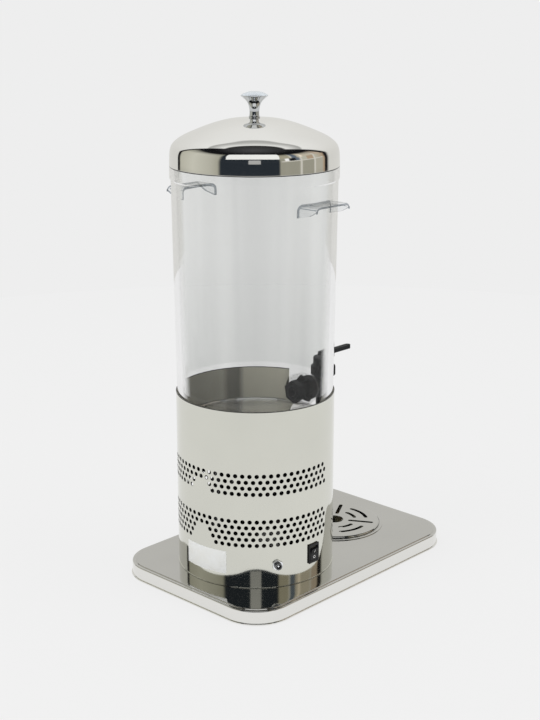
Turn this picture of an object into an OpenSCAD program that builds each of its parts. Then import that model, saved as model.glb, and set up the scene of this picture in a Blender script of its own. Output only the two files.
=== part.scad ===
// Countertop dispenser for hot chocolate. A pressed steel base plate carries a perforated housing
// with a heated disc. A clear container with a tap stands in the housing under a domed lid.
// Lengths are in millimetres. The tap points along -Y and the plate lies on the XY plane.

/* [Base plate] */
// Width of the plate across its lip
plate_w = 232; // [220:1:260]
// Length of the plate along its lip
plate_l = 348; // [340:1:400]
// Height of the pressed plate
plate_h = 17.5; // [16.5:0.5:24]
// Corner radius of the lip in plan
plate_corner = 45; // [36:1:55]
// Sheet thickness of the plate
plate_t = 1; // [0.8:0.1:1.4]
// Radius of the top edge
plate_edge_r = 3; // [2:0.5:4]
// Outward lean of the side wall
plate_draft = 1.2; // [0.4:0.1:2]
// Overhang of the rolled lip
lip_out = 0.9; // [0.5:0.1:1.4]
// Height of the rolled lip
lip_h = 1.2; // [0.8:0.1:1.8]
// Distance from the plate centre back to the housing axis
housing_y = 57; // [54:0.5:62]

/* [Feet] */
// Diameter of a rubber foot
foot_d = 20; // [14:1:24]
// Drop of the feet below the lip
foot_drop = 1; // [0.5:0.1:2]
// Distance of a foot from the side of the plate
foot_in_x = 30; // [24:1:36]
// Distance of a foot from the end of the plate
foot_in_y = 30; // [24:1:36]

/* [Housing] */
// Outer diameter of the housing
housing_d = 180; // [178:0.5:190]
// Height of the housing above the plate
housing_h = 206; // [200:1:212]
// Sheet thickness of the housing
housing_t = 0.8; // [0.6:0.1:1]
// Half width of the notch for the tap
notch_r = 26.5; // [23:0.5:30]

/* [Perforation] */
// Diameter of a hole
hole_d = 5; // [3:0.25:6]
// Spacing of holes along a row
hole_pitch = 7.917; // [7.6:0.001:8.2]
// Spacing of rows
row_pitch = 6.95; // [6.6:0.05:7.6]
// Height of the top row of the upper band
upper_top = 132.3; // [128:0.1:136]
// Height of the top row of the lower band
lower_top = 78.9; // [76:0.1:84]

/* [Switch] */
// Width of the switch bezel
switch_w = 16; // [13:0.5:17]
// Height of the switch bezel
switch_h = 22.5; // [20:0.5:24]
// Height of the switch centre above the plate
switch_z = 31; // [28:0.5:34]
// Stand of the bezel off the housing
bezel_t = 1.8; // [1.2:0.1:2.4]
// Depth of the switch body inside the housing
switch_depth = 22; // [16:1:26]

/* [Power inlet] */
// Diameter of the inlet barrel
jack_d = 8; // [7:0.5:9]
// Height of the inlet above the plate
jack_z = 27; // [24:0.5:32]
// Stand of the barrel off the housing
jack_out = 6; // [4:0.5:8]
// Depth of the barrel inside the housing
jack_depth = 16; // [12:1:20]
// Width of the inlet nut across its flats
jack_nut_af = 11; // [10.5:0.5:13.5]
// Thickness of the inlet nut
jack_nut_t = 2.4; // [2:0.2:3.4]

/* [Rating label] */
// Height of the label
label_h = 27; // [20:1:32]
// Height of the label's lower edge above the plate
label_z = 15.3; // [12:0.5:18]
// Length of the label round the housing
label_w = 57.5; // [40:0.5:64]
// Thickness of the label
label_t = 0.15; // [0.1:0.05:0.3]

/* [Heater] */
// Height of the heated disc's face above the plate
disc_z = 163; // [158:0.5:168]
// Clearance between the heated disc and the housing
disc_gap = 3.2; // [2.4:0.1:6]
// Thickness of the heated disc
disc_t = 1.5; // [1:0.1:2]
// Depth of the heated disc's rim
disc_rim = 11; // [8:1:14]
// Distance of the heater mat's edge from the edge of the heated disc
mat_in = 10; // [8:0.5:20]
// Thickness of the heater mat
mat_t = 2; // [1.5:0.1:3]
// Thickness of the aluminium spreader disc
spreader_t = 2.3; // [1.8:0.1:3]
// Thickness of the insulation disc
insulation_t = 10; // [8:0.5:12]
// Thickness of the heater tray
tray_t = 1.2; // [0.8:0.1:1.6]
// Diameter of a post
post_d = 8; // [6:0.5:10]
// Distance of the posts from the edge of the heater mat
post_in = 6; // [5:0.5:12]
// Thickness of the floor disc
floor_t = 1.5; // [1:0.1:2]

/* [Container] */
// Clearance between the container's floor and the housing
container_gap = 1.3; // [1.2:0.1:2.2]
// Widening of the container's radius from its floor to its shoulder
container_flare = 3.6; // [2.6:0.1:4.2]
// Wall thickness of the container
container_t = 3; // [2:0.1:3.4]
// Height of the container's shoulder above the plate
shoulder_z = 459; // [452:1:470]
// Height of the collar under the shoulder
collar_h = 12.5; // [8:0.5:18]
// Radial step of the collar
collar_out = 1.2; // [0.8:0.1:1.6]
// Height of the rim above the shoulder
rim_h = 7; // [5:0.5:9]

/* [Handles] */
// Length of a handle
handle_l = 54; // [44:1:60]
// Reach of a handle past the container's shoulder radius
handle_out = 22; // [18:0.5:23.5]
// Thickness of a handle
handle_t = 3; // [2.4:0.1:3.6]
// Height of a handle's upper face above the plate
handle_z = 428.5; // [420:0.5:434]
// Depth of a handle's turned ends at the wall
handle_drop = 14; // [11:0.5:18]
// Depth of a handle's turned ends where they start to taper
handle_mid_drop = 10; // [8:0.5:11]
// Outer corner radius of a handle
handle_r = 7; // [4:0.5:9]

/* [Tap] */
// Height of the tap's shank above the plate
shank_z = 187; // [186:0.5:190]
// Distance of the valve axis from the container's outer boss
tap_out = 26; // [24:0.5:30]
// Outer diameter of the shank
shank_d = 16; // [14:0.5:18]
// Bore of the shank
shank_bore = 10; // [8:0.5:11]
// Width of the inner nut across its flats
tap_nut_af = 24; // [22:0.5:26]
// Thickness of the inner nut
tap_nut_t = 9; // [6:0.5:10]
// Diameter of the inner washer
washer_d = 40; // [34:0.5:40.5]
// Thickness of the inner washer
washer_t = 3; // [2:0.5:4]
// Outer diameter of the valve chamber
chamber_d = 22; // [20:0.5:23]
// Bore of the valve chamber
chamber_bore = 18; // [16:0.5:18.5]
// Diameter of the bonnet's collar
bonnet_d = 28; // [26:0.5:30]
// Height of the bonnet's collar
bonnet_collar_h = 11.5; // [9:0.5:12]
// Diameter of the bonnet's upper part
bonnet_top_d = 24; // [22.5:0.5:25]
// Height of the bonnet's upper part
bonnet_top_h = 11; // [9:0.5:12]
// Diameter of the outlet spout
spout_d = 17; // [14.5:0.5:18]
// Length of the spout below the shank axis
spout_drop = 37; // [28:1:42]
// Bore of the spout
spout_bore = 12; // [9:0.5:12.5]
// Length of the lever past the valve axis
lever_l = 48; // [38:1:60]
// Width of the lever at its root
lever_w = 10; // [9.5:0.5:11]
// Width of the lever at its tip
lever_tip_w = 7; // [5:0.5:9]
// Thickness of the lever
lever_t = 4.8; // [4.4:0.1:5.4]
// Diameter of the valve stem
stem_d = 4; // [3:0.5:4]
// Diameter of the lever's pivot pin
pivot_d = 3; // [2:0.25:3]

/* [Lid] */
// Overhang of the lid past the container's shoulder
lid_over = 1.2; // [1:0.1:2.4]
// Height of the lid's crown above its lower edge
lid_h = 51.5; // [44:0.5:60]
// Sheet thickness of the lid
lid_t = 0.6; // [0.4:0.05:0.7]
// Diameter of the knob's head
knob_d = 29.6; // [24:0.5:34]
// Height of the knob above the crown
knob_h = 28; // [22:0.5:34]

/* [Drip tray] */
// Distance from the housing axis forward to the tray centre
tray_reach = 141; // [139:0.5:150]
// Outer diameter of the pan's rim
pan_d = 120.6; // [116:0.2:124]
// Distance from the edge of the pan's rim in to the bead that the grille stands inside
pan_bead_in = 2.8; // [2.2:0.1:3.2]
// Depth of the pan
pan_depth = 13.5; // [12:0.5:14]
// Sheet thickness of the pan
pan_t = 0.8; // [0.6:0.1:1]
// Gap all round between the grille and the bead
grille_gap = 0.7; // [0.4:0.1:1.5]
// Height of the grille's face above the plate
grille_rise = 3.6; // [3:0.1:6]
// Sheet thickness of the grille
grille_t = 1; // [0.8:0.1:1.4]
// Width of a slot
slot_w = 4.6; // [2.5:0.1:5]
// Diameter of the grille's centre hole
grille_hole_d = 23; // [16:0.5:26]

/* [Hidden] */
$fn = 96;

over = 1;
gap = 0.3;
fit = 0.06;
z0 = foot_drop + plate_h;
housing_r = housing_d / 2;
housing_in = housing_r - housing_t;

// Hole counts along each row, as half steps left bare at the middle and as whole steps to the end
upper_first_steps = [0.5, 0, 1.5, 2];
upper_last_steps = [19.5, 20, 19.5, 20];
lower_first_steps = [0.5, 0, 1.5, 2, 2.5];
lower_last_steps = [19.5, 20, 19.5, 20, 19.5];
// Direction of the middle of the perforation, of the inlet, of the switch and of the label
hole_mid_ang = 92;
jack_ang = 149.5;
switch_ang = 180;
label_ang = 94.35;
hole_step = hole_pitch / housing_r * 180 / PI;

// Floor disc, posts and heater stack
floor_r = housing_in - 0.7 * floor_t;
floor_screw_r = 2.5;
floor_screw_share = 0.563;
floor_screw_ring = housing_in * floor_screw_share;
floor_head_r = 4.6;
floor_head_h = 2.8;
floor_nut_af = 8;
floor_nut_h = 4;
floor_screw_tail = 1.2;
post_r = post_d / 2;
post_ang = 95;
post_screw_r = 1.5;
post_head_r = 3;
post_head_h = 1.8;
post_screw_l = 12;
disc_r = housing_in - disc_gap;
mat_r = disc_r - mat_in;
post_ring = mat_r - post_in;
spread_z = disc_z - disc_t - spreader_t;
mat_z = spread_z - mat_t;
insul_z = mat_z - insulation_t;
tray_z = insul_z - tray_t;
tray_r = mat_r + 3 * tray_t;
tray_rim = 6;
insul_r = mat_r + tray_t;
stat_r = 8;
stat_h = 9;
stat_flange_r = 11;
stat_flange_t = 1.2;
fuse_r = 2.2;
fuse_l = 12;
fuse_x = 26;
block_x = 6;
block_y = -35;
block_l = 34;
block_w = 16;
block_h = 14;
block_hole_d = 4;

// Switch
bezel_over = 1;
rocker_side = 2.25;
rocker_end = 3.25;
switch_cut_w = switch_w - 2 * bezel_over;
switch_cut_h = switch_h - 2 * bezel_over;
rocker_w = switch_w - 2 * rocker_side;
rocker_h = switch_h - 2 * rocker_end;
rocker_tilt = 8;
rocker_pivot_in = 4.5;
rocker_well = 11;
rocker_hub_r = 1.6;
blade_w = 4.8;
blade_t = 0.8;
blade_l = 6;
blade_at = 6;

// Power inlet
jack_r = jack_d / 2;
jack_hole_gap = 0.25;
jack_wall = 1.2;
jack_flange_out = 2;
jack_socket_wall = 0.8;
jack_hole_r = jack_r + jack_hole_gap;
jack_bore_r = jack_r - jack_wall;
jack_flange_r = jack_r + jack_flange_out;
jack_flange_t = 1.2;
jack_cup = 8;
jack_socket_r = jack_bore_r - jack_socket_wall;
jack_pin_r = 1;

// Container
cont_r = housing_in - container_gap;
cont_top_r = cont_r + container_flare;
cont_in_z = disc_z + container_t;
rim_z = shoulder_z + rim_h;
foot_round = 3;
boss_in_r = 19;
boss_out_r = 17;
boss_deep = 10.2;
boss_proud = 2.8;
shank_hole_r = shank_d / 2 + gap;
function cont_at(z) = cont_r + (cont_top_r - cont_r) * (z - disc_z) / (shoulder_z - disc_z);
boss_face = cont_at(shank_z) - container_t - boss_deep;
boss_out_face = cont_at(shank_z) + boss_proud;
boss_root = sqrt(pow(cont_at(shank_z) - container_t / 2, 2) - pow(boss_in_r, 2));
tap_reach = boss_out_face + tap_out;

// Tap
nut_back = boss_face - washer_t;
tap_nut_ang = 20;
shank_end = nut_back - tap_nut_t - 0.1 * shank_d;
seal_t = 2;
seal_r = 14.5;
flange_r = 14;
flange_t = 3;
chamber_r = chamber_d / 2;
chamber_rise = 18;
chamber_top = shank_z + chamber_rise;
seat_in = 8;
seat_z = shank_z - seat_in;
seat_t = 3;
seat_skirt = 4;
collar_rise = 10.5;
collar_z = shank_z + collar_rise;
bonnet_z = collar_z + bonnet_collar_h + bonnet_top_h;
bonnet_roof = 3;
lever_gap = 1.2;
lever_z = bonnet_z + lever_gap;
lever_mid = lever_z + lever_t / 2;
pivot_in = 9;
pivot_y = tap_reach + pivot_in;
pivot_r = pivot_d / 2;
ear_t = 2.3;
ear_gap = gap;
ear_r = 2.6;
fork_r = stem_d / 2 + gap;
tine_in = 4.2;
cross_r = 1.2;
stem_crest = 0.5;
cup_gap = 0.7;
cup_r = chamber_bore / 2 - cup_gap;
cup_h = 8;
cup_foot = 2;
knurl_r = 0.9;
knurl_n = 20;

// Handles
handle_reach = cont_top_r + handle_out;
bond = 0.03;

// Lid
crown_z = shoulder_z + lid_h;
lid_r = cont_top_r + lid_over;
lid_r_shares = [1, 0.998, 0.9946, 0.986, 0.9687, 0.931, 0.8716, 0.7896, 0.686, 0.575, 0.442, 0.303,
    0.151, 0];
lid_z_shares = [0, 0.136, 0.272, 0.363, 0.4427, 0.52, 0.597, 0.672, 0.751, 0.829, 0.9076, 0.966,
    0.993, 1];
knob_r_shares = [0.4, 0.37, 0.358, 0.358, 0.38, 0.42, 0.48, 0.56, 0.67, 0.8, 0.91, 0.98, 1, 0.985,
    0.86, 0.6, 0.3, 0];
knob_z_shares = [0.055, 0.085, 0.16, 0.26, 0.36, 0.455, 0.54, 0.61, 0.675, 0.735, 0.785, 0.815, 0.835,
    0.856, 0.9, 0.957, 0.99, 1];
knob_foot_r = 6.2;
knob_foot_h = 1.2;
knob_screw_r = 2.5;
knob_bore = 12;
knob_head_r = 4.5;
knob_head_h = 2.6;
knob_washer_r = 6.5;
knob_washer_t = 1;
gasket_h = 4;
gasket_w = 3.2;

// Drip tray
tray_y = housing_y - tray_reach;
pan_r = pan_d / 2;
pan_bead_r = pan_r - pan_bead_in;
pan_bead_h = 0.5;
tray_gap = 0.6;
tray_flat = tray_reach - housing_r - tray_gap;
pan_ledge = 4.2;
pan_wall_r = pan_bead_r - pan_ledge;
pan_cut_r = pan_wall_r + gap + pan_t / 4;
grille_r = pan_bead_r - pan_t - grille_gap;
slot_out_in = 9;
arc_out_in = 15.5;
arc_in_in = 29.5;
grille_edge_r = 2.4;
slot_in = 20;
slot_out = grille_r - slot_out_in;
arc_in_r = grille_r - arc_in_in;
arc_out_r = grille_r - arc_out_in;
arc_in_half = 18;
arc_out_half = 22.5;
slot_ang = 30;
arc_ang = 75;

steel = [0.78, 0.78, 0.76];
black = [0.12, 0.12, 0.13];
clear = [0.88, 0.92, 0.94, 0.35];

// Points of a smooth curve through given points, with n steps between each pair
function cr(a, b, c, d, t) = 0.5 * (2 * b + (c - a) * t + (2 * a - 5 * b + 4 * c - d) * t * t
    + (3 * b - a - 3 * c + d) * t * t * t);
function smooth(p, n) = [for (i = [0 : len(p) - 2]) for (k = [0 : n - 1])
    cr(p[max(i - 1, 0)], p[i], p[i + 1], p[min(i + 2, len(p) - 1)], k / n), p[len(p) - 1]];
function unit(v) = v / norm(v);
// The same curve moved in by t along its normals, with its last point kept on the axis
function inset(p, t) = [for (i = [0 : len(p) - 1])
    let (d = unit(p[min(i + 1, len(p) - 1)] - p[max(i - 1, 0)]))
    i == len(p) - 1 ? [0, p[i][1] - t] : p[i] + t * [-d[1], d[0]]];
function back(p) = [for (i = [len(p) - 1 : -1 : 0]) p[i]];
function arc(c, r, a, b, n) = [for (i = [0 : n]) let (g = a + (b - a) * i / n)
    c + r * [cos(g), sin(g)]];

// Tube along a route, with a ring of sides at each point
function ring(p, d, r, n) = let (u = unit(cross(d, [0.31, 0.52, 0.79])), v = cross(unit(d), u))
    [for (k = [0 : n - 1]) p + r * (cos(360 * k / n) * u + sin(360 * k / n) * v)];
module tube(route, r, n = 8) {
    p = smooth(route, 6);
    m = len(p);
    pts = [for (i = [0 : m - 1]) each ring(p[i], p[min(i + 1, m - 1)] - p[max(i - 1, 0)], r, n)];
    sides = [for (i = [0 : m - 2]) for (k = [0 : n - 1]) each [
        [i * n + k, i * n + (k + 1) % n, (i + 1) * n + (k + 1) % n],
        [i * n + k, (i + 1) * n + (k + 1) % n, (i + 1) * n + k]]];
    ends = [[for (k = [n - 1 : -1 : 0]) k], [for (k = [0 : n - 1]) (m - 1) * n + k]];
    polyhedron(pts, concat(sides, ends), convexity = 10);
}

// A profile drawn outward from the corner centres, run round a rectangle with round corners
module rim_run(hx, hy, r) {
    for (k = [0 : 3]) {
        ex = k % 2 == 0 ? hx : hy;
        ey = k % 2 == 0 ? hy : hx;
        rotate([0, 0, 90 * k])
            translate([ex - r, ey - r, 0]) {
                rotate([90, 0, 0]) linear_extrude(2 * (ey - r)) children();
                rotate_extrude(angle = 90) children();
            }
    }
}

module ring_of(n, r, first = 0) {
    for (k = [0 : n - 1])
        rotate([0, 0, first + 360 / n * k]) translate([r, 0, 0]) children();
}

// Plan of the drip tray at a given radius: a circle with a flat back against the housing
module tray_plan(r) {
    translate([0, tray_y]) intersection() {
        circle(r = r);
        translate([-r, -r]) square([2 * r, r + tray_flat - pan_r + r]);
    }
}

// A flat piece of the tray between two heights, hollow if an inner radius is given
module tray_ring(ro, ri, z1, z2) {
    translate([0, 0, z1]) linear_extrude(z2 - z1)
        difference() {
            tray_plan(ro);
            if (ri > 0) tray_plan(ri);
        }
}

// Moves a piece to the housing axis on top of the plate
module on_axis() {
    translate([0, housing_y, z0]) children();
}

module pipe(ro, ri, h) {
    difference() {
        cylinder(r = ro, h = h);
        translate([0, 0, -over]) cylinder(r = ri, h = h + 2 * over);
    }
}

// A slot cut with round ends along +X
module slot(x1, x2, w, h) {
    translate([x1, -w / 2, 0]) cube([x2 - x1, w, h]);
    for (x = [x1, x2]) translate([x, 0, 0]) cylinder(d = w, h = h);
}

module base_plate() {
    top = plate_corner - lip_out - plate_draft;
    wall = plate_corner - lip_out;
    e = plate_edge_r;
    c = [top - e, plate_h - e];
    color(steel)
        difference() {
            translate([0, 0, foot_drop]) {
                rim_run(plate_w / 2, plate_l / 2, plate_corner)
                    polygon(concat([[0, plate_h]], arc(c, e, 90, 0, 8),
                        [[wall, lip_h], [plate_corner, lip_h], [plate_corner, 0],
                        [wall - plate_t, 0]],
                        arc(c, e - plate_t, 0, 90, 8), [[0, plate_h - plate_t]]));
                translate([plate_corner - plate_w / 2, plate_corner - plate_l / 2,
                    plate_h - plate_t])
                    cube([plate_w - 2 * plate_corner, plate_l - 2 * plate_corner, plate_t]);
            }
            tray_ring(pan_cut_r, 0, z0 - plate_t - over, z0 + over);
            translate([0, housing_y, z0 - plate_t - over])
                ring_of(4, floor_screw_ring, 45)
                    cylinder(r = floor_screw_r + gap / 2, h = plate_t + 2 * over);
        }
}

module rubber_feet() {
    x = plate_w / 2 - foot_in_x;
    y = plate_l / 2 - foot_in_y;
    color(black)
        for (i = [-1, 1]) for (j = [-1, 1])
            translate([i * x, j * y, 0]) {
                cylinder(d1 = foot_d - 2 * foot_drop, d2 = foot_d, h = foot_drop);
                translate([0, 0, foot_drop]) cylinder(d = foot_d, h = plate_h - plate_t);
            }
}

module floor_disc() {
    color("silver")
        on_axis() difference() {
            cylinder(r = floor_r, h = floor_t);
            ring_of(4, floor_screw_ring, 45)
                translate([0, 0, -over])
                    cylinder(r = floor_screw_r + gap / 2, h = floor_t + 2 * over);
        }
}

module floor_screws() {
    color("silver")
        on_axis() ring_of(4, floor_screw_ring, 45) {
            translate([0, 0, -plate_t - floor_head_h]) cylinder(r = floor_head_r, h = floor_head_h);
            translate([0, 0, -plate_t])
                cylinder(r = floor_screw_r, h = plate_t + floor_t + floor_nut_h + floor_screw_tail);
        }
}

module floor_nuts() {
    color("silver")
        on_axis() ring_of(4, floor_screw_ring, 45)
            translate([0, 0, floor_t]) difference() {
                cylinder(r = floor_nut_af / 2 / cos(30), h = floor_nut_h, $fn = 6);
                translate([0, 0, -over])
                    cylinder(r = floor_screw_r + fit, h = floor_nut_h + 2 * over);
            }
}

module hole_row(z, first, last) {
    for (k = [first : 1 : last]) for (s = [-1, 1])
        if (k > 0 || s > 0)
            rotate([0, 0, hole_mid_ang + s * k * hole_step])
                translate([housing_in - over, 0, z]) rotate([0, 90, 0])
                    cylinder(d = hole_d, h = housing_t + 2 * over, $fn = 24);
}

module housing_shell() {
    color(steel)
        on_axis() difference() {
            pipe(housing_r, housing_in, housing_h);
            for (i = [0 : 3])
                hole_row(upper_top - i * row_pitch, upper_first_steps[i], upper_last_steps[i]);
            for (i = [0 : 4])
                hole_row(lower_top - i * row_pitch, lower_first_steps[i], lower_last_steps[i]);
            translate([0, -housing_r + housing_in / 4, shank_z]) rotate([90, 0, 0])
                cylinder(r = notch_r, h = housing_in / 4 + over);
            translate([-notch_r, -housing_r - over, shank_z])
                cube([2 * notch_r, housing_in / 4 + over, housing_h - shank_z + over]);
            rotate([0, 0, switch_ang])
                translate([housing_in - over, -switch_cut_w / 2 - gap / 2,
                    switch_z - switch_cut_h / 2 - gap / 2])
                    cube([housing_t + 2 * over, switch_cut_w + gap, switch_cut_h + gap]);
            rotate([0, 0, jack_ang])
                translate([housing_in - over, 0, jack_z]) rotate([0, 90, 0])
                    cylinder(r = jack_hole_r, h = housing_t + 2 * over);
        }
}

module rating_label() {
    a = label_w / housing_r * 180 / PI;
    color("white")
        on_axis() translate([0, 0, label_z]) rotate([0, 0, label_ang - a / 2])
            rotate_extrude(angle = a)
                translate([housing_r + label_t / 5, 0]) square([label_t, label_h]);
}

module posts() {
    color("silver")
        on_axis() ring_of(3, post_ring, post_ang)
            translate([0, 0, floor_t]) difference() {
                cylinder(r = post_r, h = tray_z - floor_t);
                translate([0, 0, tray_z - floor_t - post_screw_l])
                    cylinder(r = post_screw_r + fit, h = post_screw_l + over);
            }
}

module post_screws() {
    color("silver")
        on_axis() ring_of(3, post_ring, post_ang) {
            translate([0, 0, tray_z + tray_t]) cylinder(r = post_head_r, h = post_head_h);
            translate([0, 0, tray_z + tray_t - post_screw_l + 2 * tray_t])
                cylinder(r = post_screw_r, h = post_screw_l - 2 * tray_t);
        }
}

module heater_tray() {
    color("silver")
        on_axis() translate([0, 0, tray_z]) difference() {
            union() {
                cylinder(r = tray_r, h = tray_t);
                pipe(tray_r, tray_r - tray_t, tray_rim);
            }
            ring_of(3, post_ring, post_ang)
                translate([0, 0, -over])
                    cylinder(r = post_screw_r + gap / 2, h = tray_t + 2 * over);
        }
}

module insulation_disc() {
    color([0.85, 0.83, 0.75])
        on_axis() translate([0, 0, insul_z]) difference() {
            cylinder(r = insul_r, h = insulation_t);
            ring_of(3, post_ring, post_ang)
                translate([0, 0, -over])
                    cylinder(r = post_head_r + gap, h = post_head_h + gap + over);
        }
}

module heater_mat() {
    color([0.55, 0.25, 0.15])
        on_axis() translate([0, 0, mat_z]) cylinder(r = mat_r, h = mat_t);
}

module spreader_disc() {
    color("silver")
        on_axis() translate([0, 0, spread_z]) cylinder(r = mat_r, h = spreader_t);
}

module heated_disc() {
    color(steel)
        on_axis() translate([0, 0, disc_z - disc_rim])
            difference() {
                union() {
                    cylinder(r = disc_r, h = disc_rim - disc_t);
                    translate([0, 0, disc_rim - disc_t]) cylinder(r = disc_r, h = disc_t);
                }
                translate([0, 0, -over])
                    cylinder(r = disc_r - disc_t, h = disc_rim - disc_t + over);
            }
}

module thermostat() {
    color([0.2, 0.2, 0.2])
        on_axis() translate([0, 0, tray_z]) mirror([0, 0, 1]) {
            cylinder(r = stat_flange_r, h = stat_flange_t);
            cylinder(r = stat_r, h = stat_h);
        }
}

module thermal_fuse() {
    color("silver")
        on_axis() translate([fuse_x, -fuse_l / 2, tray_z - fuse_r]) rotate([-90, 0, 0])
            cylinder(r = fuse_r, h = fuse_l);
}

module terminal_block() {
    color("white")
        on_axis() translate([block_x - block_l / 2, block_y - block_w / 2, floor_t])
            difference() {
                cube([block_l, block_w, block_h]);
                for (i = [1, 3])
                    translate([block_l * i / 4, block_w / 2, block_h / 2])
                        cylinder(d = block_hole_d, h = block_h);
            }
}

wire_r = 1.1;
wire_lead = 6;
route_r = 90;

// Points of a wire's route, drawn for a housing of radius route_r, moved in or out with the housing
function laid(points) = [for (p = points) [p[0] * housing_r / route_r, p[1] * housing_r / route_r, p[2]]];

wire_in = [cos(jack_ang), sin(jack_ang)];
jack_back = housing_in - jack_depth;
switch_back = housing_r - switch_depth;
supply_a = concat(
    [[jack_back * wire_in[0], jack_back * wire_in[1], jack_z],
    [(jack_back - wire_lead) * wire_in[0], (jack_back - wire_lead) * wire_in[1], jack_z]],
    laid([[-38, 24, 27], [-20, 6, 20], [-2, -10, 12], [2, -20, 9]]),
    [[2, block_y + block_w / 2, 9]]);
supply_b = concat(
    [[-switch_back + blade_l, 0, switch_z - blade_at],
    [-switch_back + blade_l + wire_lead, 0, switch_z - blade_at]],
    laid([[-44, -8, 20], [-32, -22, 14], [-22, -33, 10]]),
    [[block_x - block_l / 2 - wire_lead / 2, block_y, 9], [block_x - block_l / 2, block_y, 9]]);
heater_a = concat(
    [[block_x + block_l / 2, block_y, 9], [block_x + block_l / 2 + wire_lead, block_y, 9]],
    laid([[42, -32, 16], [46, -24, 40], [42, -16, 80], [30, -8, 110], [10, -3, 122]]),
    [[0, 0, 130], [0, 0, tray_z - stat_h]]);
heater_b = concat(
    [[-switch_back + blade_l, 0, switch_z + blade_at],
    [-switch_back + blade_l + wire_lead, 0, switch_z + blade_at]],
    laid([[-48, 6, 46], [-44, 14, 70], [-36, 20, 100], [-30, 24, 128],
    [-28, 26, 136], [-28, 26, tray_z]]));

module supply_wires() {
    color("red") on_axis() tube(supply_a, wire_r);
    color("red") on_axis() tube(supply_b, wire_r);
}

module heater_wires() {
    color("black") on_axis() tube(heater_a, wire_r);
    color("black") on_axis() tube(heater_b, wire_r);
}

// The switch is drawn about its centre with +X out of the housing
module at_switch() {
    on_axis() rotate([0, 0, switch_ang]) translate([housing_r, 0, switch_z]) children();
}

module switch_body() {
    color(black)
        at_switch() {
            difference() {
                union() {
                    translate([0, -switch_w / 2, -switch_h / 2]) cube([bezel_t, switch_w, switch_h]);
                    translate([-switch_depth, -switch_cut_w / 2, -switch_cut_h / 2])
                        cube([switch_depth + bezel_t / 2, switch_cut_w, switch_cut_h]);
                }
                translate([-rocker_well, -rocker_w / 2 - gap, -rocker_h / 2 - gap])
                    cube([rocker_well + bezel_t + over, rocker_w + 2 * gap, rocker_h + 2 * gap]);
            }
            for (s = [-1, 1])
                translate([-switch_depth - blade_l, -blade_w / 2, s * blade_at - blade_t / 2])
                    cube([blade_l, blade_w, blade_t]);
        }
}

// A rocker with a shallow V face and a round hub, tilted about a pin across the switch
module switch_rocker() {
    hh = rocker_h / 2;
    tip = bezel_t + rocker_pivot_in;
    color(black)
        at_switch() translate([-rocker_pivot_in, 0, 0]) rotate([0, rocker_tilt, 0])
            rotate([90, 0, 0]) translate([0, 0, -rocker_w / 2]) {
                cylinder(r = rocker_hub_r, h = rocker_w);
                linear_extrude(rocker_w) polygon([[0, -hh * 0.45], [tip * 0.5, -hh * 0.88], [tip + hh * 0.16, -hh * 0.88],
                    [tip, 0], [tip + hh * 0.16, hh * 0.88], [tip * 0.5, hh * 0.88],
                    [0, hh * 0.45]]);
            }
}

// The inlet is drawn about its centre with +Z out of the housing
module at_jack() {
    on_axis() rotate([0, 0, jack_ang]) translate([housing_r, 0, jack_z]) rotate([0, 90, 0]) children();
}

module inlet_barrel() {
    color(steel)
        at_jack() difference() {
            union() {
                translate([0, 0, -jack_depth - housing_t])
                    cylinder(r = jack_r, h = jack_depth + housing_t + jack_out);
                translate([0, 0, -housing_t - jack_flange_t - gap])
                    cylinder(r = jack_flange_r, h = jack_flange_t);
            }
            translate([0, 0, jack_out - jack_cup]) cylinder(r = jack_bore_r, h = jack_cup + over);
        }
}

module inlet_nut() {
    color(steel)
        at_jack() difference() {
            cylinder(r = jack_nut_af / 2 / cos(30), h = jack_nut_t, $fn = 6);
            translate([0, 0, -over]) cylinder(r = jack_r + fit, h = jack_nut_t + 2 * over);
        }
}

module inlet_insulator() {
    color(black)
        at_jack() translate([0, 0, jack_out - jack_cup]) difference() {
            cylinder(r = jack_bore_r, h = jack_cup - jack_pin_r / 2);
            translate([0, 0, jack_cup / 3]) cylinder(r = jack_socket_r, h = jack_cup);
            translate([0, 0, -over]) cylinder(r = jack_pin_r, h = jack_cup);
        }
}

module inlet_pin() {
    color(steel)
        at_jack() translate([0, 0, jack_out - jack_cup])
            cylinder(r = jack_pin_r, h = jack_cup - 1.5 * jack_pin_r);
}

module drip_pan() {
    low = z0 - pan_depth;
    top = z0 + pan_t;
    color(steel) {
        tray_ring(pan_wall_r, 0, low, low + pan_t);
        tray_ring(pan_wall_r, pan_wall_r - pan_t, low + pan_t, top);
        tray_ring(pan_r, pan_wall_r - pan_t, z0, top);
        tray_ring(pan_bead_r, pan_bead_r - pan_t, top, top + pan_bead_h);
    }
}

module arc_slot(r, half, w, h) {
    rotate([0, 0, -half]) rotate_extrude(angle = 2 * half)
        translate([r - w / 2, 0]) square([w, h]);
    for (a = [-half, half]) rotate([0, 0, a]) translate([r, 0, 0]) cylinder(d = w, h = h);
}

// The grille's outer or inner form, rounded at its edge in steps that all start at the foot
module grille_form(r, e, low, top) {
    for (g = [0 : 15 : 90])
        tray_ring(r - e * (1 - cos(g)), 0, low, top - e * (1 - sin(min(g + 15, 90))));
}

module drip_grille() {
    top = z0 + grille_rise;
    foot = z0 + pan_t;
    e = grille_edge_r;
    t = grille_t;
    cut = grille_t + 2 * over;
    color(steel)
        difference() {
            grille_form(grille_r, e, foot, top);
            grille_form(grille_r - t, e - t, foot - over, top - t);
            translate([0, tray_y, top - t - over]) {
                cylinder(d = grille_hole_d, h = cut);
                for (k = [0 : 3]) {
                    rotate([0, 0, slot_ang + 90 * k]) slot(slot_in, slot_out, slot_w, cut);
                    rotate([0, 0, arc_ang + 90 * k]) {
                        arc_slot(arc_in_r, arc_in_half, slot_w, cut);
                        arc_slot(arc_out_r, arc_out_half, slot_w, cut);
                    }
                }
            }
        }
}

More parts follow.
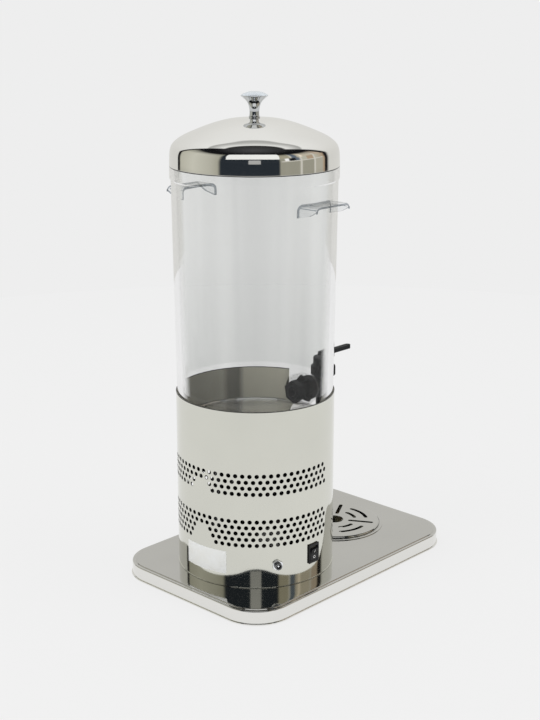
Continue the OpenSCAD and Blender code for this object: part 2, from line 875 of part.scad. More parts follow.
module container() {
    t = container_t;
    color(clear)
        on_axis() difference() {
            union() {
                rotate_extrude()
                    polygon([[0, disc_z], [cont_r - foot_round, disc_z],
                        [cont_at(disc_z + foot_round), disc_z + foot_round],
                        [cont_at(shoulder_z - collar_h - collar_out),
                            shoulder_z - collar_h - collar_out],
                        [cont_top_r + collar_out, shoulder_z - collar_h],
                        [cont_top_r + collar_out, shoulder_z],
                        [cont_top_r - gap, shoulder_z], [cont_top_r - gap, rim_z],
                        [cont_top_r - t, rim_z], [cont_at(cont_in_z + foot_round) - t,
                            cont_in_z + foot_round],
                        [cont_r - t - foot_round, cont_in_z], [0, cont_in_z]]);
                translate([0, -boss_face, shank_z]) rotate([90, 0, 0])
                    cylinder(r = boss_out_r, h = boss_out_face - boss_face);
                translate([0, -boss_face, shank_z]) rotate([90, 0, 0])
                    cylinder(r = boss_in_r, h = boss_root - boss_face);
            }
            translate([0, -boss_face + over, shank_z]) rotate([90, 0, 0])
                cylinder(r = shank_hole_r, h = boss_out_face - boss_face + 2 * over);
        }
}

// A ledge with turned-down ends, tapered to its outer edge and bonded to the container's wall
module handle(s) {
    hl = handle_l / 2;
    root = cont_at(handle_z);
    deep = handle_drop + over;
    r = handle_r;
    ri = handle_r - handle_t;
    color(clear)
        on_axis() translate([0, 0, handle_z]) mirror([s < 0 ? 1 : 0, 0, 0]) difference() {
            intersection() {
                rotate([90, 0, 90]) linear_extrude(handle_reach)
                    polygon(concat([[-hl, -deep]], arc([-hl + r, -r], r, 180, 90, 8),
                        arc([hl - r, -r], r, 90, 0, 8), [[hl, -deep], [hl - handle_t, -deep]],
                        arc([hl - r, -r], ri, 0, 90, 8), arc([-hl + r, -r], ri, 90, 180, 8),
                        [[-hl + handle_t, -deep]]));
                translate([0, hl + over, 0]) rotate([90, 0, 0])
                    linear_extrude(handle_l + 2 * over)
                        polygon([[root / 2, 0], [handle_reach, 0],
                            [handle_reach, -handle_t], [handle_reach - handle_out / 3, -handle_mid_drop],
                            [root - container_t, -handle_drop], [root / 2, -handle_drop]]);
            }
            translate([0, 0, -handle_drop - over])
                cylinder(r1 = cont_at(handle_z - handle_drop - over) + bond,
                    r2 = cont_at(handle_z + over) + bond, h = handle_drop + 2 * over);
        }
}

module handle_left() {
    handle(1);
}

module handle_right() {
    handle(-1);
}

// Pieces on the shank are drawn with +Z pointing out along the tap
module on_shank(a) {
    on_axis() translate([0, -a, shank_z]) rotate([90, 0, 0]) children();
}

module tap_washer() {
    color(clear) on_shank(nut_back) pipe(washer_d / 2, shank_hole_r, washer_t);
}

module tap_nut() {
    color(black)
        on_shank(nut_back - tap_nut_t) rotate([0, 0, tap_nut_ang]) difference() {
            cylinder(r = tap_nut_af / 2 / cos(30), h = tap_nut_t, $fn = 6);
            translate([0, 0, -over]) cylinder(r = shank_d / 2 + fit, h = tap_nut_t + 2 * over);
        }
}

module tap_seal() {
    color(black) on_shank(boss_out_face) pipe(seal_r, shank_hole_r, seal_t);
}

module tap_body() {
    low = seat_z - seat_t;
    color(black)
        on_axis() difference() {
            union() {
                translate([0, -shank_end, shank_z]) rotate([90, 0, 0])
                    cylinder(d = shank_d, h = tap_reach - shank_end);
                translate([0, -boss_out_face - seal_t, shank_z]) rotate([90, 0, 0])
                    cylinder(r = flange_r, h = flange_t);
                translate([0, -tap_reach, 0]) {
                    translate([0, 0, low]) cylinder(r = chamber_r, h = chamber_top - low);
                    translate([0, 0, low - seat_skirt])
                        cylinder(r1 = spout_d / 2, r2 = chamber_r, h = seat_skirt);
                    translate([0, 0, shank_z - spout_drop]) cylinder(d = spout_d, h = spout_drop);
                }
            }
            translate([0, -shank_end + over, shank_z]) rotate([90, 0, 0])
                cylinder(d = shank_bore, h = tap_reach - shank_end + over);
            translate([0, -tap_reach, seat_z])
                cylinder(d = chamber_bore, h = chamber_top - seat_z + over);
            translate([0, -tap_reach, shank_z - spout_drop - over])
                cylinder(d = spout_bore, h = spout_drop + over);
        }
}

module tap_bonnet() {
    ear_in = lever_w / 2 + ear_gap;
    color(black)
        on_axis() translate([0, -tap_reach, 0]) difference() {
            union() {
                translate([0, 0, collar_z]) {
                    cylinder(d = bonnet_d, h = bonnet_collar_h);
                    ring_of(knurl_n, bonnet_d / 2) cylinder(r = knurl_r, h = bonnet_collar_h);
                }
                translate([0, 0, collar_z]) cylinder(d = bonnet_top_d, h = bonnet_z - collar_z);
                for (s = [-1, 1])
                    translate([s * (ear_in + ear_t / 2) - ear_t / 2, -pivot_in, bonnet_z - over]) {
                        translate([0, -ear_r, 0]) cube([ear_t, 2 * ear_r, lever_mid - bonnet_z + over]);
                        translate([0, 0, lever_mid - bonnet_z + over]) rotate([0, 90, 0])
                            cylinder(r = ear_r, h = ear_t);
                    }
            }
            translate([0, 0, collar_z - over])
                cylinder(r = chamber_r + fit, h = chamber_top - collar_z + over + fit);
            translate([0, 0, collar_z]) cylinder(d = chamber_bore, h = bonnet_z - bonnet_roof - collar_z);
            cylinder(r = fork_r, h = bonnet_z + over);
            translate([-ear_in - ear_t - over, -pivot_in, lever_mid]) rotate([0, 90, 0])
                cylinder(r = pivot_r + fit / 3, h = 2 * (ear_in + ear_t + over));
        }
}

module tap_stem() {
    color(black)
        on_axis() translate([0, -tap_reach, 0]) {
            translate([0, 0, seat_z + cup_h])
                cylinder(d = stem_d, h = lever_mid + cross_r + stem_crest - seat_z - cup_h);
            translate([-lever_w / 2, 0, lever_mid]) rotate([0, 90, 0])
                cylinder(r = cross_r, h = lever_w);
        }
}

module valve_cup() {
    color([0.75, 0.75, 0.72])
        on_axis() translate([0, -tap_reach, seat_z]) {
            cylinder(r = cup_r, h = cup_foot);
            cylinder(r = cup_r * 0.6, h = cup_h);
        }
}

module tap_lever() {
    root = -tine_in;
    hw = lever_w / 2;
    tw = lever_tip_w / 2;
    color(black)
        on_axis() translate([0, -tap_reach, lever_z]) rotate([0, 0, -90]) difference() {
            union() {
                linear_extrude(lever_t)
                    polygon([[root, -hw], [pivot_in + ear_r, -hw], [pivot_in + 2.5 * ear_r, -tw],
                        [lever_l - tw, -tw], [lever_l - tw, tw], [pivot_in + 2.5 * ear_r, tw],
                        [pivot_in + ear_r, hw], [root, hw]]);
                translate([lever_l - tw, 0, 0]) cylinder(r = tw, h = lever_t);
            }
            translate([root - over, -fork_r, -over])
                cube([over - root + stem_d, 2 * fork_r, lever_t + 2 * over]);
            translate([-cross_r - 2 * gap, -hw - over, lever_t / 2 - cross_r - gap])
                cube([2 * cross_r + 4 * gap, lever_w + 2 * over, 2 * (cross_r + gap)]);
            translate([pivot_in, -hw - over, lever_t / 2]) rotate([-90, 0, 0])
                cylinder(r = pivot_r + fit, h = lever_w + 2 * over);
        }
}

module lever_pin() {
    half = lever_w / 2 + ear_gap + ear_t;
    color("silver")
        on_axis() translate([-half, -pivot_y, lever_mid]) rotate([0, 90, 0])
            cylinder(r = pivot_r, h = 2 * half);
}

lid_pts = smooth([for (i = [0 : len(lid_r_shares) - 1])
    [lid_r * lid_r_shares[i], lid_h * lid_z_shares[i]]], 4);
lid_in = inset(lid_pts, lid_t);
function lid_in_at(z) = lookup(z, [for (p = lid_in) [p[1], p[0]]]);

module lid_shell() {
    color(steel)
        on_axis() translate([0, 0, shoulder_z]) difference() {
            rotate_extrude()
                polygon(concat(lid_pts, back([for (i = [1 : len(lid_in) - 1]) lid_in[i]]),
                    [[lid_in[0][0], 0]]));
            translate([0, 0, lid_h / 2])
                cylinder(r = knob_screw_r + fit, h = lid_h / 2 + over);
        }
}

module lid_gasket() {
    g = rim_h + gap;
    color([0.9, 0.9, 0.88, 0.6])
        on_axis() translate([0, 0, shoulder_z + g])
            pipe(lid_in_at(g + gasket_h) - fit, cont_top_r - gap - gasket_w, gasket_h);
}

module lid_knob() {
    pts = smooth([for (i = [0 : len(knob_r_shares) - 1])
        [knob_d / 2 * knob_r_shares[i], knob_h * knob_z_shares[i]]], 3);
    color(steel)
        on_axis() translate([0, 0, crown_z]) difference() {
            rotate_extrude()
                polygon(concat([[0, 0], [knob_foot_r, 0], [knob_foot_r, knob_foot_h * 0.8],
                    [knob_foot_r - knob_foot_h * 0.2, knob_foot_h]], pts));
            translate([0, 0, -over]) cylinder(r = knob_screw_r + fit, h = knob_bore + over);
        }
}

module knob_screw() {
    sag = lid_h - lookup(-knob_washer_r, [for (p = lid_pts) [-p[0], p[1]]]);
    color("silver")
        on_axis() translate([0, 0, crown_z - lid_t - sag]) {
            translate([0, 0, -knob_washer_t]) cylinder(r = knob_washer_r, h = knob_washer_t);
            translate([0, 0, -knob_washer_t - knob_head_h]) cylinder(r = knob_head_r, h = knob_head_h);
            translate([0, 0, -knob_washer_t])
                cylinder(r = knob_screw_r, h = knob_bore * 0.8 + knob_washer_t);
        }
}

base_plate();
rubber_feet();
floor_disc();
floor_screws();
floor_nuts();
housing_shell();
rating_label();
posts();
post_screws();
heater_tray();
insulation_disc();
heater_mat();
spreader_disc();
heated_disc();
thermostat();
thermal_fuse();
terminal_block();
supply_wires();
heater_wires();
switch_body();
switch_rocker();
inlet_barrel();
inlet_nut();
inlet_insulator();
inlet_pin();
drip_pan();
drip_grille();
container();
handle_left();
handle_right();
tap_washer();
tap_nut();
tap_seal();
tap_body();
tap_bonnet();
tap_stem();
valve_cup();
tap_lever();
lever_pin();
lid_shell();
lid_gasket();
lid_knob();
knob_screw();
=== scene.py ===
"""Drink dispenser with a heated base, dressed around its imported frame."""

import math

import bmesh
import bpy
import numpy as np
from mathutils import Matrix, Vector


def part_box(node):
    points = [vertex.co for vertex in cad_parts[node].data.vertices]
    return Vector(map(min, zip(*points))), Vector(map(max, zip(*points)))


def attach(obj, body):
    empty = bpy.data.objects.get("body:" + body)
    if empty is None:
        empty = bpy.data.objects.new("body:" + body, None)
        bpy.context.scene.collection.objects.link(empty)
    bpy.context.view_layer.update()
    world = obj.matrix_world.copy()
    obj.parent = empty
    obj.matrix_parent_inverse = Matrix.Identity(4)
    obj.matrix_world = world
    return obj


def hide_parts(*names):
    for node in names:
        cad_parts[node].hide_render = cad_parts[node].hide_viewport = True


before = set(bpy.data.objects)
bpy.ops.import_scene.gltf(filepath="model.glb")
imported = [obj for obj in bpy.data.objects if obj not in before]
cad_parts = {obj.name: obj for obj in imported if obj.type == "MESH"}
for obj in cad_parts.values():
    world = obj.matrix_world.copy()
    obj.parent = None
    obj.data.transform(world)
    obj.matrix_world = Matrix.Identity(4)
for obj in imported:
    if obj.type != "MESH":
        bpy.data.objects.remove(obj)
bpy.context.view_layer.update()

bl_info = {
    "name": "Drink Dispenser",
    "version": (1, 0, 0),
    "blender": (4, 5, 0),
    "location": "View3D > Sidebar > Dispenser",
    "description": "Builds the plate, housing, container, tap and lid of a drink dispenser",
    "category": "Add Mesh",
}

MM = 0.001
TAU = 2 * math.pi

# Places that every piece is set out from, in metres, read from the frame
HOUSING_LO, HOUSING_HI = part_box("housing_shell")
HOUSING_R = (HOUSING_HI.x - HOUSING_LO.x) / 2
AXIS_Y = (HOUSING_LO.y + HOUSING_HI.y) / 2
PLATE_LO, PLATE_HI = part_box("base_plate")
PLATE_TOP = PLATE_HI.z
PAN_LO, PAN_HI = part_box("drip_pan")
PAN_R = (PAN_HI.x - PAN_LO.x) / 2
TRAY_Y = PAN_LO.y + PAN_R
TRAY_FLAT = PAN_HI.y - TRAY_Y
LID_LO, LID_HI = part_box("lid_shell")

# The photograph's turn round the upright axis in radians, and its level ways right and away
CAMERA_TURN = 0.80179
VIEW_RIGHT = Vector((-math.sin(CAMERA_TURN), -math.cos(CAMERA_TURN), 0))
VIEW_AWAY = Vector((math.cos(CAMERA_TURN), -math.sin(CAMERA_TURN), 0))


# Helpers for surfaces

def arc(centre, radius, start, stop, steps):
    """Points at a fixed radius round a centre, from one angle in degrees to another."""
    a = np.radians(np.linspace(start, stop, steps + 1))
    return np.c_[centre[0] + radius * np.cos(a), centre[1] + radius * np.sin(a)]


def filleted(points, steps=5):
    """A polyline whose corners (x, y, r) are swapped for arcs of radius r that touch both sides."""
    out = []
    n = len(points)
    for i, (x, y, r) in enumerate(points):
        p = np.array([x, y], float)
        if r <= 0 or i in (0, n - 1):
            out.append(p[None])
            continue
        a = np.array(points[i - 1][:2], float) - p
        b = np.array(points[i + 1][:2], float) - p
        la, lb = np.linalg.norm(a), np.linalg.norm(b)
        a, b = a / la, b / lb
        half = math.acos(np.clip(a @ b, -1, 1)) / 2
        cut = min(r / math.tan(half), 0.49 * la, 0.49 * lb)
        rr = cut * math.tan(half)
        mid = (a + b) / np.linalg.norm(a + b)
        c = p + mid * rr / math.sin(half)
        s, e = p + a * cut - c, p + b * cut - c
        turn = math.atan2(s[0] * e[1] - s[1] * e[0], s @ e)
        t = turn * np.linspace(0, 1, steps + 1)[:, None]
        out.append(c + s * np.cos(t) + np.array([-s[1], s[0]]) * np.sin(t))
    return np.concatenate(out)


def spline(points, steps):
    """Catmull-Rom curve through points, with the same number of steps between each pair."""
    p = np.asarray(points, float)
    q = np.vstack([p[:1], p, p[-1:]])
    t = np.linspace(0, 1, steps, endpoint=False)[:, None]
    out = []
    for i in range(len(p) - 1):
        a, b, c, d = q[i:i + 4]
        out.append(0.5 * (2 * b + (c - a) * t + (2 * a - 5 * b + 4 * c - d) * t ** 2
                          + (3 * b - a - 3 * c + d) * t ** 3))
    return np.vstack(out + [p[-1:]])


def inset(points, depth):
    """The same curve moved to its left by a depth, along normals taken from its neighbours."""
    d = np.gradient(points, axis=0)
    d /= np.linalg.norm(d, axis=1)[:, None]
    return points + depth * np.c_[-d[:, 1], d[:, 0]]


def patch(grid, wrap_u=False, wrap_v=False):
    """Quads between the neighbours of a grid of points, joined end to end where it wraps."""
    nu, nv = grid.shape[:2]
    index = np.arange(nu * nv).reshape(nu, nv)
    if wrap_u:
        index = np.vstack([index, index[:1]])
    if wrap_v:
        index = np.hstack([index, index[:, :1]])
    quads = np.stack([index[:-1, :-1], index[1:, :-1], index[1:, 1:], index[:-1, 1:]], -1)
    return grid.reshape(-1, 3), quads.reshape(-1, 4)


def turned(profile, segments=192, closed=True):
    """A profile of (radius, height) turned once round the upright axis through the origin."""
    a = np.linspace(0, TAU, segments, endpoint=False)[:, None]
    r, z = profile[None, :, 0], profile[None, :, 1]
    grid = np.stack([r * np.cos(a), r * np.sin(a), z + 0 * a], -1)
    return patch(grid, wrap_u=True, wrap_v=closed)


def cropped(profile, steps=120, back_steps=24):
    """A profile of (radius, height) turned round the upright axis as far as a flat back. At radius
    r the arc stops where y reaches the tray's flat less what r lacks of the pan's own radius."""
    r, z = profile[:, 0], profile[:, 1]
    back = np.clip(TRAY_FLAT - PAN_R + r, 0, None)
    stop = np.arcsin(back / np.maximum(r, MM))
    a = math.pi - stop + (math.pi + 2 * stop) * np.linspace(0, 1, steps + 1)[:, None]
    bend = np.stack([r * np.cos(a), r * np.sin(a)], -1)
    share = np.linspace(1, -1, back_steps + 1)[1:-1, None]
    line = np.stack([r * np.cos(stop) * share, back + 0 * share], -1)
    xy = np.vstack([bend, line])
    grid = np.concatenate([xy, np.broadcast_to(z[None, :, None], (*xy.shape[:2], 1))], -1)
    return patch(grid, wrap_u=True, wrap_v=True)


def joined(*shells):
    """Several shells of vertices and quads as one."""
    verts, quads, base = [], [], 0
    for v, q in shells:
        verts.append(v)
        quads.append(q + base)
        base += len(v)
    return np.vstack(verts), np.vstack(quads)


def moved(shell, offset=(0, 0, 0), turn=None):
    """A shell turned by a 3 by 3 matrix and then shifted."""
    v, q = shell
    v = v @ np.array(turn, float).T if turn is not None else v
    return v + np.array(offset, float), q


def bar(loops):
    """A closed bar through a stack of loops of equal length, its two ends fanned to their middles."""
    loops = np.asarray(loops, float)
    ends = [np.repeat(loops[i].mean(0)[None], loops.shape[1], 0)[None] for i in (0, -1)]
    return patch(np.vstack([ends[0], loops, ends[1]]), wrap_v=True)


FACE_MINUS_Y = [[1, 0, 0], [0, 0, -1], [0, 1, 0]]


def linked(name, data):
    """A new object of a mesh, a lamp or a camera, put in the scene."""
    obj = bpy.data.objects.new(name, data)
    bpy.context.scene.collection.objects.link(obj)
    return obj


def place(name, shell, body, node=None, material=None, sharp=35, weld=1e-6):
    """Makes a mesh object in the frame's place, welded and facing out, that rides on a body."""
    verts, quads = shell
    mesh = bpy.data.meshes.new(name)
    mesh.from_pydata(verts.tolist(), [], quads.tolist())
    bm = bmesh.new()
    bm.from_mesh(mesh)
    bmesh.ops.remove_doubles(bm, verts=bm.verts, dist=weld)
    bmesh.ops.dissolve_degenerate(bm, edges=bm.edges, dist=weld)
    bmesh.ops.recalc_face_normals(bm, faces=bm.faces)
    bm.to_mesh(mesh)
    bm.free()
    mesh.shade_smooth()
    mesh.set_sharp_from_angle(angle=math.radians(sharp))
    obj = linked(name, mesh)
    if material:
        mesh.materials.append(material)
    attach(obj, body)
    nodes = [node] if isinstance(node, str) else list(node or [])
    if nodes:
        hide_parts(*nodes)
    return obj


def softened(node, body, material, width=0.35, segments=2, angle=30):
    """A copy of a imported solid, welded, whose edges are rounded by a Bevel modifier."""
    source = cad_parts[node]
    mesh = source.data.copy()
    mesh.name = node + "_soft"
    bm = bmesh.new()
    bm.from_mesh(mesh)
    bmesh.ops.remove_doubles(bm, verts=bm.verts, dist=1e-6)
    bmesh.ops.dissolve_limit(bm, angle_limit=math.radians(1), verts=bm.verts, edges=bm.edges)
    bm.to_mesh(mesh)
    bm.free()
    mesh.shade_smooth()
    mesh.set_sharp_from_angle(angle=math.radians(35))
    obj = linked(node + "_soft", mesh)
    mesh.materials.clear()
    mesh.materials.append(material)
    mod = obj.modifiers.new("edges", "BEVEL")
    mod.width = width * MM
    mod.segments = segments
    mod.limit_method = "ANGLE"
    mod.angle_limit = math.radians(angle)
    mod.harden_normals = True
    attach(obj, body)
    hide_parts(node)
    return obj


# Materials

def add_node(tree, kind, inputs=None, **settings):
    """A shader node with its settings. An input is a value or the output that feeds it."""
    node = tree.nodes.new("ShaderNode" + kind)
    for key, value in settings.items():
        setattr(node, key, value)
    for key, value in (inputs or {}).items():
        if isinstance(value, bpy.types.NodeSocket):
            tree.links.new(value, node.inputs[key])
        else:
            node.inputs[key].default_value = value
    return node


def mix_colours(tree, factor, first, second):
    """The colour between two by a factor. Each of the two is an output or three numbers."""
    node = add_node(tree, "Mix", {0: factor}, data_type="RGBA")
    for key, value in ((6, first), (7, second)):
        if isinstance(value, bpy.types.NodeSocket):
            tree.links.new(value, node.inputs[key])
        else:
            node.inputs[key].default_value = (*value, 1)
    return node.outputs[2]


class Nodes:
    """Short calls for making and linking the nodes of one material."""

    def __init__(self, name):
        self.material = bpy.data.materials.new(name)
        self.material.use_nodes = True
        self.tree = self.material.node_tree
        self.tree.nodes.clear()
        self.output = self.tree.nodes.new("ShaderNodeOutputMaterial")

    def add(self, kind, inputs=None, **settings):
        """A node of this material."""
        return add_node(self.tree, kind, inputs, **settings)

    def noise(self, scale, detail=4.0, stretch=(1, 1, 1)):
        """Noise from 0 to 1 in the object's own coordinates."""
        where = self.add("TexCoord").outputs["Object"]
        if stretch != (1, 1, 1):
            where = self.add("Mapping", {"Vector": where, "Scale": stretch}).outputs[0]
        return self.add("TexNoise", {"Vector": where, "Scale": scale,
                                     "Detail": detail}).outputs["Fac"]

    def spread(self, value, low, high, lo=0.35, hi=0.65):
        """A value led from the span lo to hi to the span low to high, and held beyond it."""
        return self.add("MapRange", {"Value": value, "From Min": lo, "From Max": hi,
                                     "To Min": low, "To Max": high}).outputs["Result"]

    def bump(self, height, strength, distance):
        """A normal that a height disturbs."""
        return self.add("Bump", {"Height": height, "Strength": strength,
                                 "Distance": distance}).outputs["Normal"]

    def mix(self, factor, first, second):
        """The colour between two by a factor."""
        return mix_colours(self.tree, factor, first, second)

    def height(self):
        """How high a point lies."""
        return self.add("SeparateXYZ", {0: self.add("TexCoord").outputs["Object"]}).outputs["Z"]

    def radius(self):
        """How far a point lies from the upright axis of the housing."""
        where = self.add("TexCoord").outputs["Object"]
        where = self.add("VectorMath", {0: where, 1: (0, AXIS_Y, 0)}, operation="SUBTRACT").outputs[0]
        where = self.add("VectorMath", {0: where, 1: (1, 1, 0)}, operation="MULTIPLY").outputs[0]
        return self.add("VectorMath", {0: where}, operation="LENGTH").outputs["Value"]

    def finish(self, shader):
        """The material, with this shader as its surface."""
        self.tree.links.new(shader.outputs[0], self.output.inputs["Surface"])
        return self.material


def polish(n, colour, rough):
    """Colour and roughness of rubbed sheet: patches a little duller and fine streaks."""
    patches = n.noise(9, 3)
    shine = n.add("Math", {0: n.spread(patches, rough * 0.75, rough * 1.25),
                           1: n.spread(n.noise(1400, 3), -0.12 * rough, 0.3 * rough)},
                  operation="ADD").outputs[0]
    return n.mix(n.spread(patches, 0, 1), colour, tuple(0.955 * c for c in colour)), shine


def mirror_steel(name, colour, rough, wave=0.02, low=None, metal=1.0):
    """Polished sheet: faint rolling waves, fine rubbed streaks and a slightly uneven shine.
    A second colour takes over on what lies below a height: low is (colour, start, end)."""
    n = Nodes(name)
    paint, shine = polish(n, colour, rough)
    if low:
        paint = n.mix(n.spread(n.height(), 1, 0, low[1], low[2]), paint, low[0])
    return n.finish(n.add("BsdfPrincipled", {
        "Base Color": paint, "Metallic": metal, "Roughness": shine,
        "Normal": n.bump(n.noise(16, 1.5), wave, 0.004)}))


def pressed_tube(name, colour, inside, rough, reach, top):
    """Polished sheet outside with a painted dark shade line along the top rim; inside, nearer the axis
    than reach, a duller finish carrying painted reflections in broad light and dark bands across the
    tube, and painted shade below the middle of the heated disc's edge."""
    n = Nodes(name)
    inner = n.spread(n.radius(), 1, 0, reach - 0.1 * MM, reach + 0.1 * MM)
    paint, shine = polish(n, colour, rough)
    # Painted reflection: broad light and dark bands up the inside, set by where a point lies along the fixed
    # direction VIEW_RIGHT
    across = n.add("VectorMath", {0: n.add("TexCoord").outputs["Object"], 1: tuple(VIEW_RIGHT)},
                   operation="DOT_PRODUCT").outputs["Value"]
    middle = AXIS_Y * VIEW_RIGHT.y
    bands = n.add("ValToRGB", {"Fac": n.spread(across, 0, 1, middle - 90 * MM, middle + 90 * MM)})
    marks = bands.color_ramp.elements
    marks[0].color = (*(0.4 * c for c in inside), 1)
    marks[1].color = (*(0.45 * c for c in inside), 1)
    for at, level in ((0.28, 0.6), (0.32, 0.3), (0.39, 0.3), (0.43, 0.95), (0.52, 1.0),
                      (0.68, 1.0), (0.8, 0.6)):
        marks.new(at).color = (*(level * c for c in inside), 1)
    # Painted shade: the inside is near black below the middle of the heated disc's edge
    floor = PLATE_TOP + CONT_FOOT - 6 * MM
    inside_painted_light = n.mix(n.spread(n.height(), 1, 0, floor - 2 * MM, floor), bands.outputs["Color"], PAINTED_SHADE_DARK)
    paint = n.mix(inner, paint, inside_painted_light)
    # Painted shade: a dark line along the top rim
    paint = n.mix(n.spread(n.height(), 0, 1, top - 0.9 * MM, top - 0.7 * MM), paint, PAINTED_SHADE_DARK)
    dull = n.add("Math", {0: shine, 1: n.spread(inner, 0, 0.2, 0, 1)}, operation="ADD").outputs[0]
    return n.finish(n.add("BsdfPrincipled", {
        "Base Color": paint, "Metallic": n.spread(inner, 1, 0.1, 0, 1),
        "Roughness": dull, "Normal": n.bump(n.noise(16, 1.5), 0.04, 0.004)}))


def moulded_plastic(name, colour, rough=0.38, grain=0.06, scale=900, gloss=0.5):
    """Black moulding with a fine spark-eroded grain, lighter where it is rubbed."""
    n = Nodes(name)
    rubbed = tuple(min(1, c * 1.4 + 0.002) for c in colour)
    worn = n.noise(70, 4)
    return n.finish(n.add("BsdfPrincipled", {
        "Base Color": n.mix(n.spread(worn, 0, 1, 0.45, 0.75), colour, rubbed),
        "Roughness": n.spread(worn, rough * 0.85, rough * 1.15), "Specular IOR Level": gloss,
        "Normal": n.bump(n.noise(scale, 2), grain, 0.0002)}))


def clear_wall(name, colour, low, mirror=(0.02, 0.9, 0.53, 0.68), deep=0.85, edge=(0.8, 1.0), foot=0.0):
    """Clear thin wall: light goes straight through each face, a little dimmed, and a share of it
    that grows towards the wall's edges is mirrored instead. colour is the tint high up and low
    the tint near the foot. mirror is the least and the most of the mirrored share, and how far a
    face is turned away at each; deep is the further tint that is reached between the two edge
    values of the same. foot is the mirrored share of the round edge at the container's foot.
    Up to a little above the housing's rim the tint is nearly white."""
    n = Nodes(name)
    facing = n.add("LayerWeight", {"Blend": 0.5}).outputs["Facing"]
    z = n.height()
    flow = n.noise(26, 2, (1, 1, 0.04))
    base = PLATE_TOP + CONT_FOOT
    tint = n.mix(n.spread(z, 0, 1, base + 60 * MM, base + 210 * MM), low, colour)
    tint = n.mix(n.spread(z, 1, 0, base + 49 * MM, base + 51 * MM), tint, (0.985, 0.985, 0.985))
    drawn = n.mix(n.spread(flow, 0, 0.12), tint, tuple(0.6 * c for c in colour))
    both = n.mix(n.spread(facing, 0, 1, *edge), drawn, tuple(deep * c for c in low))
    through = n.add("BsdfTransparent", {"Color": both})
    gloss = n.add("BsdfGlossy", {"Color": (1, 1, 1, 1), "Roughness": n.spread(flow, 0.0, 0.02)})
    share = n.spread(facing, *mirror)
    if foot:
        bend = n.add("Math", {0: n.spread(z, foot, 0, base + 5 * MM, base + 6 * MM),
                              1: n.spread(n.radius(), 0, 1, CONT_R - 4.5 * MM, CONT_R - 4 * MM)},
                     operation="MULTIPLY").outputs[0]
        share = n.add("Math", {0: share, 1: bend}, operation="MAXIMUM").outputs[0]
    return n.finish(n.add("MixShader", {0: share, 1: through.outputs[0], 2: gloss.outputs[0]}))


def cloudy_rubber(name, colour, rough=0.5):
    """Soft rubber or silicone with a dusty, slightly mottled skin."""
    n = Nodes(name)
    dusty = tuple(min(1, c * 1.2 + 0.015) for c in colour)
    return n.finish(n.add("BsdfPrincipled", {
        "Base Color": n.mix(n.spread(n.noise(120, 5), 0, 1), colour, dusty),
        "Roughness": n.spread(n.noise(60, 3), rough * 0.85, rough * 1.15),
        "Normal": n.bump(n.noise(700, 2), 0.08, 0.0002)}))


def plated_metal(name, colour, rough):
    """Zinc-plated or bare inner metal with small spangles of different shine."""
    n = Nodes(name)
    where = n.add("TexCoord").outputs["Object"]
    spangle = n.add("TexVoronoi", {"Vector": where, "Scale": 260.0}).outputs["Color"]
    grey = n.add("RGBToBW", {"Color": spangle}).outputs[0]
    dull = tuple(0.85 * c for c in colour)
    return n.finish(n.add("BsdfPrincipled", {
        "Base Color": n.mix(grey, colour, dull), "Metallic": 1.0,
        "Roughness": n.spread(grey, rough * 0.8, rough * 1.25, 0, 1),
        "Normal": n.bump(n.noise(800, 3), 0.05, 0.0002)}))


def paper_film(name, colour):
    """Blank paper label: a faint fibre and slightly yellowed patches."""
    n = Nodes(name)
    aged = tuple(c * f for c, f in zip(colour, (0.97, 0.96, 0.93)))
    return n.finish(n.add("BsdfPrincipled", {
        "Base Color": n.mix(n.spread(n.noise(60, 4), 0, 1), colour, aged),
        "Roughness": n.spread(n.noise(400, 4), 0.4, 0.55),
        "Normal": n.bump(n.noise(1500, 3), 0.05, 0.0001)}))


def fibre_board(name, colour):
    """Pressed mineral fibre with coarse strands."""
    n = Nodes(name)
    dark = tuple(0.7 * c for c in colour)
    strands = n.noise(300, 6, (1, 1, 6))
    return n.finish(n.add("BsdfPrincipled", {
        "Base Color": n.mix(n.spread(strands, 0, 1), colour, dark),
        "Roughness": n.spread(strands, 0.8, 0.95), "Normal": n.bump(strands, 0.4, 0.0005)}))


MATERIALS = {}
# Near black used as painted shade: a dark line along the housing's rim, the housing's inside below the
# heated disc, and a shadow line under the lid's hem
PAINTED_SHADE_DARK = (0.03, 0.03, 0.03)
# The handles' edge tint is painted shade: a dark outline on their end faces and undersides
HANDLE_TINT, PAINTED_EDGE_SHADE, WASHER_TINT = (0.965, 0.97, 0.975), (0.42, 0.45, 0.48), (0.97, 0.98, 0.98)


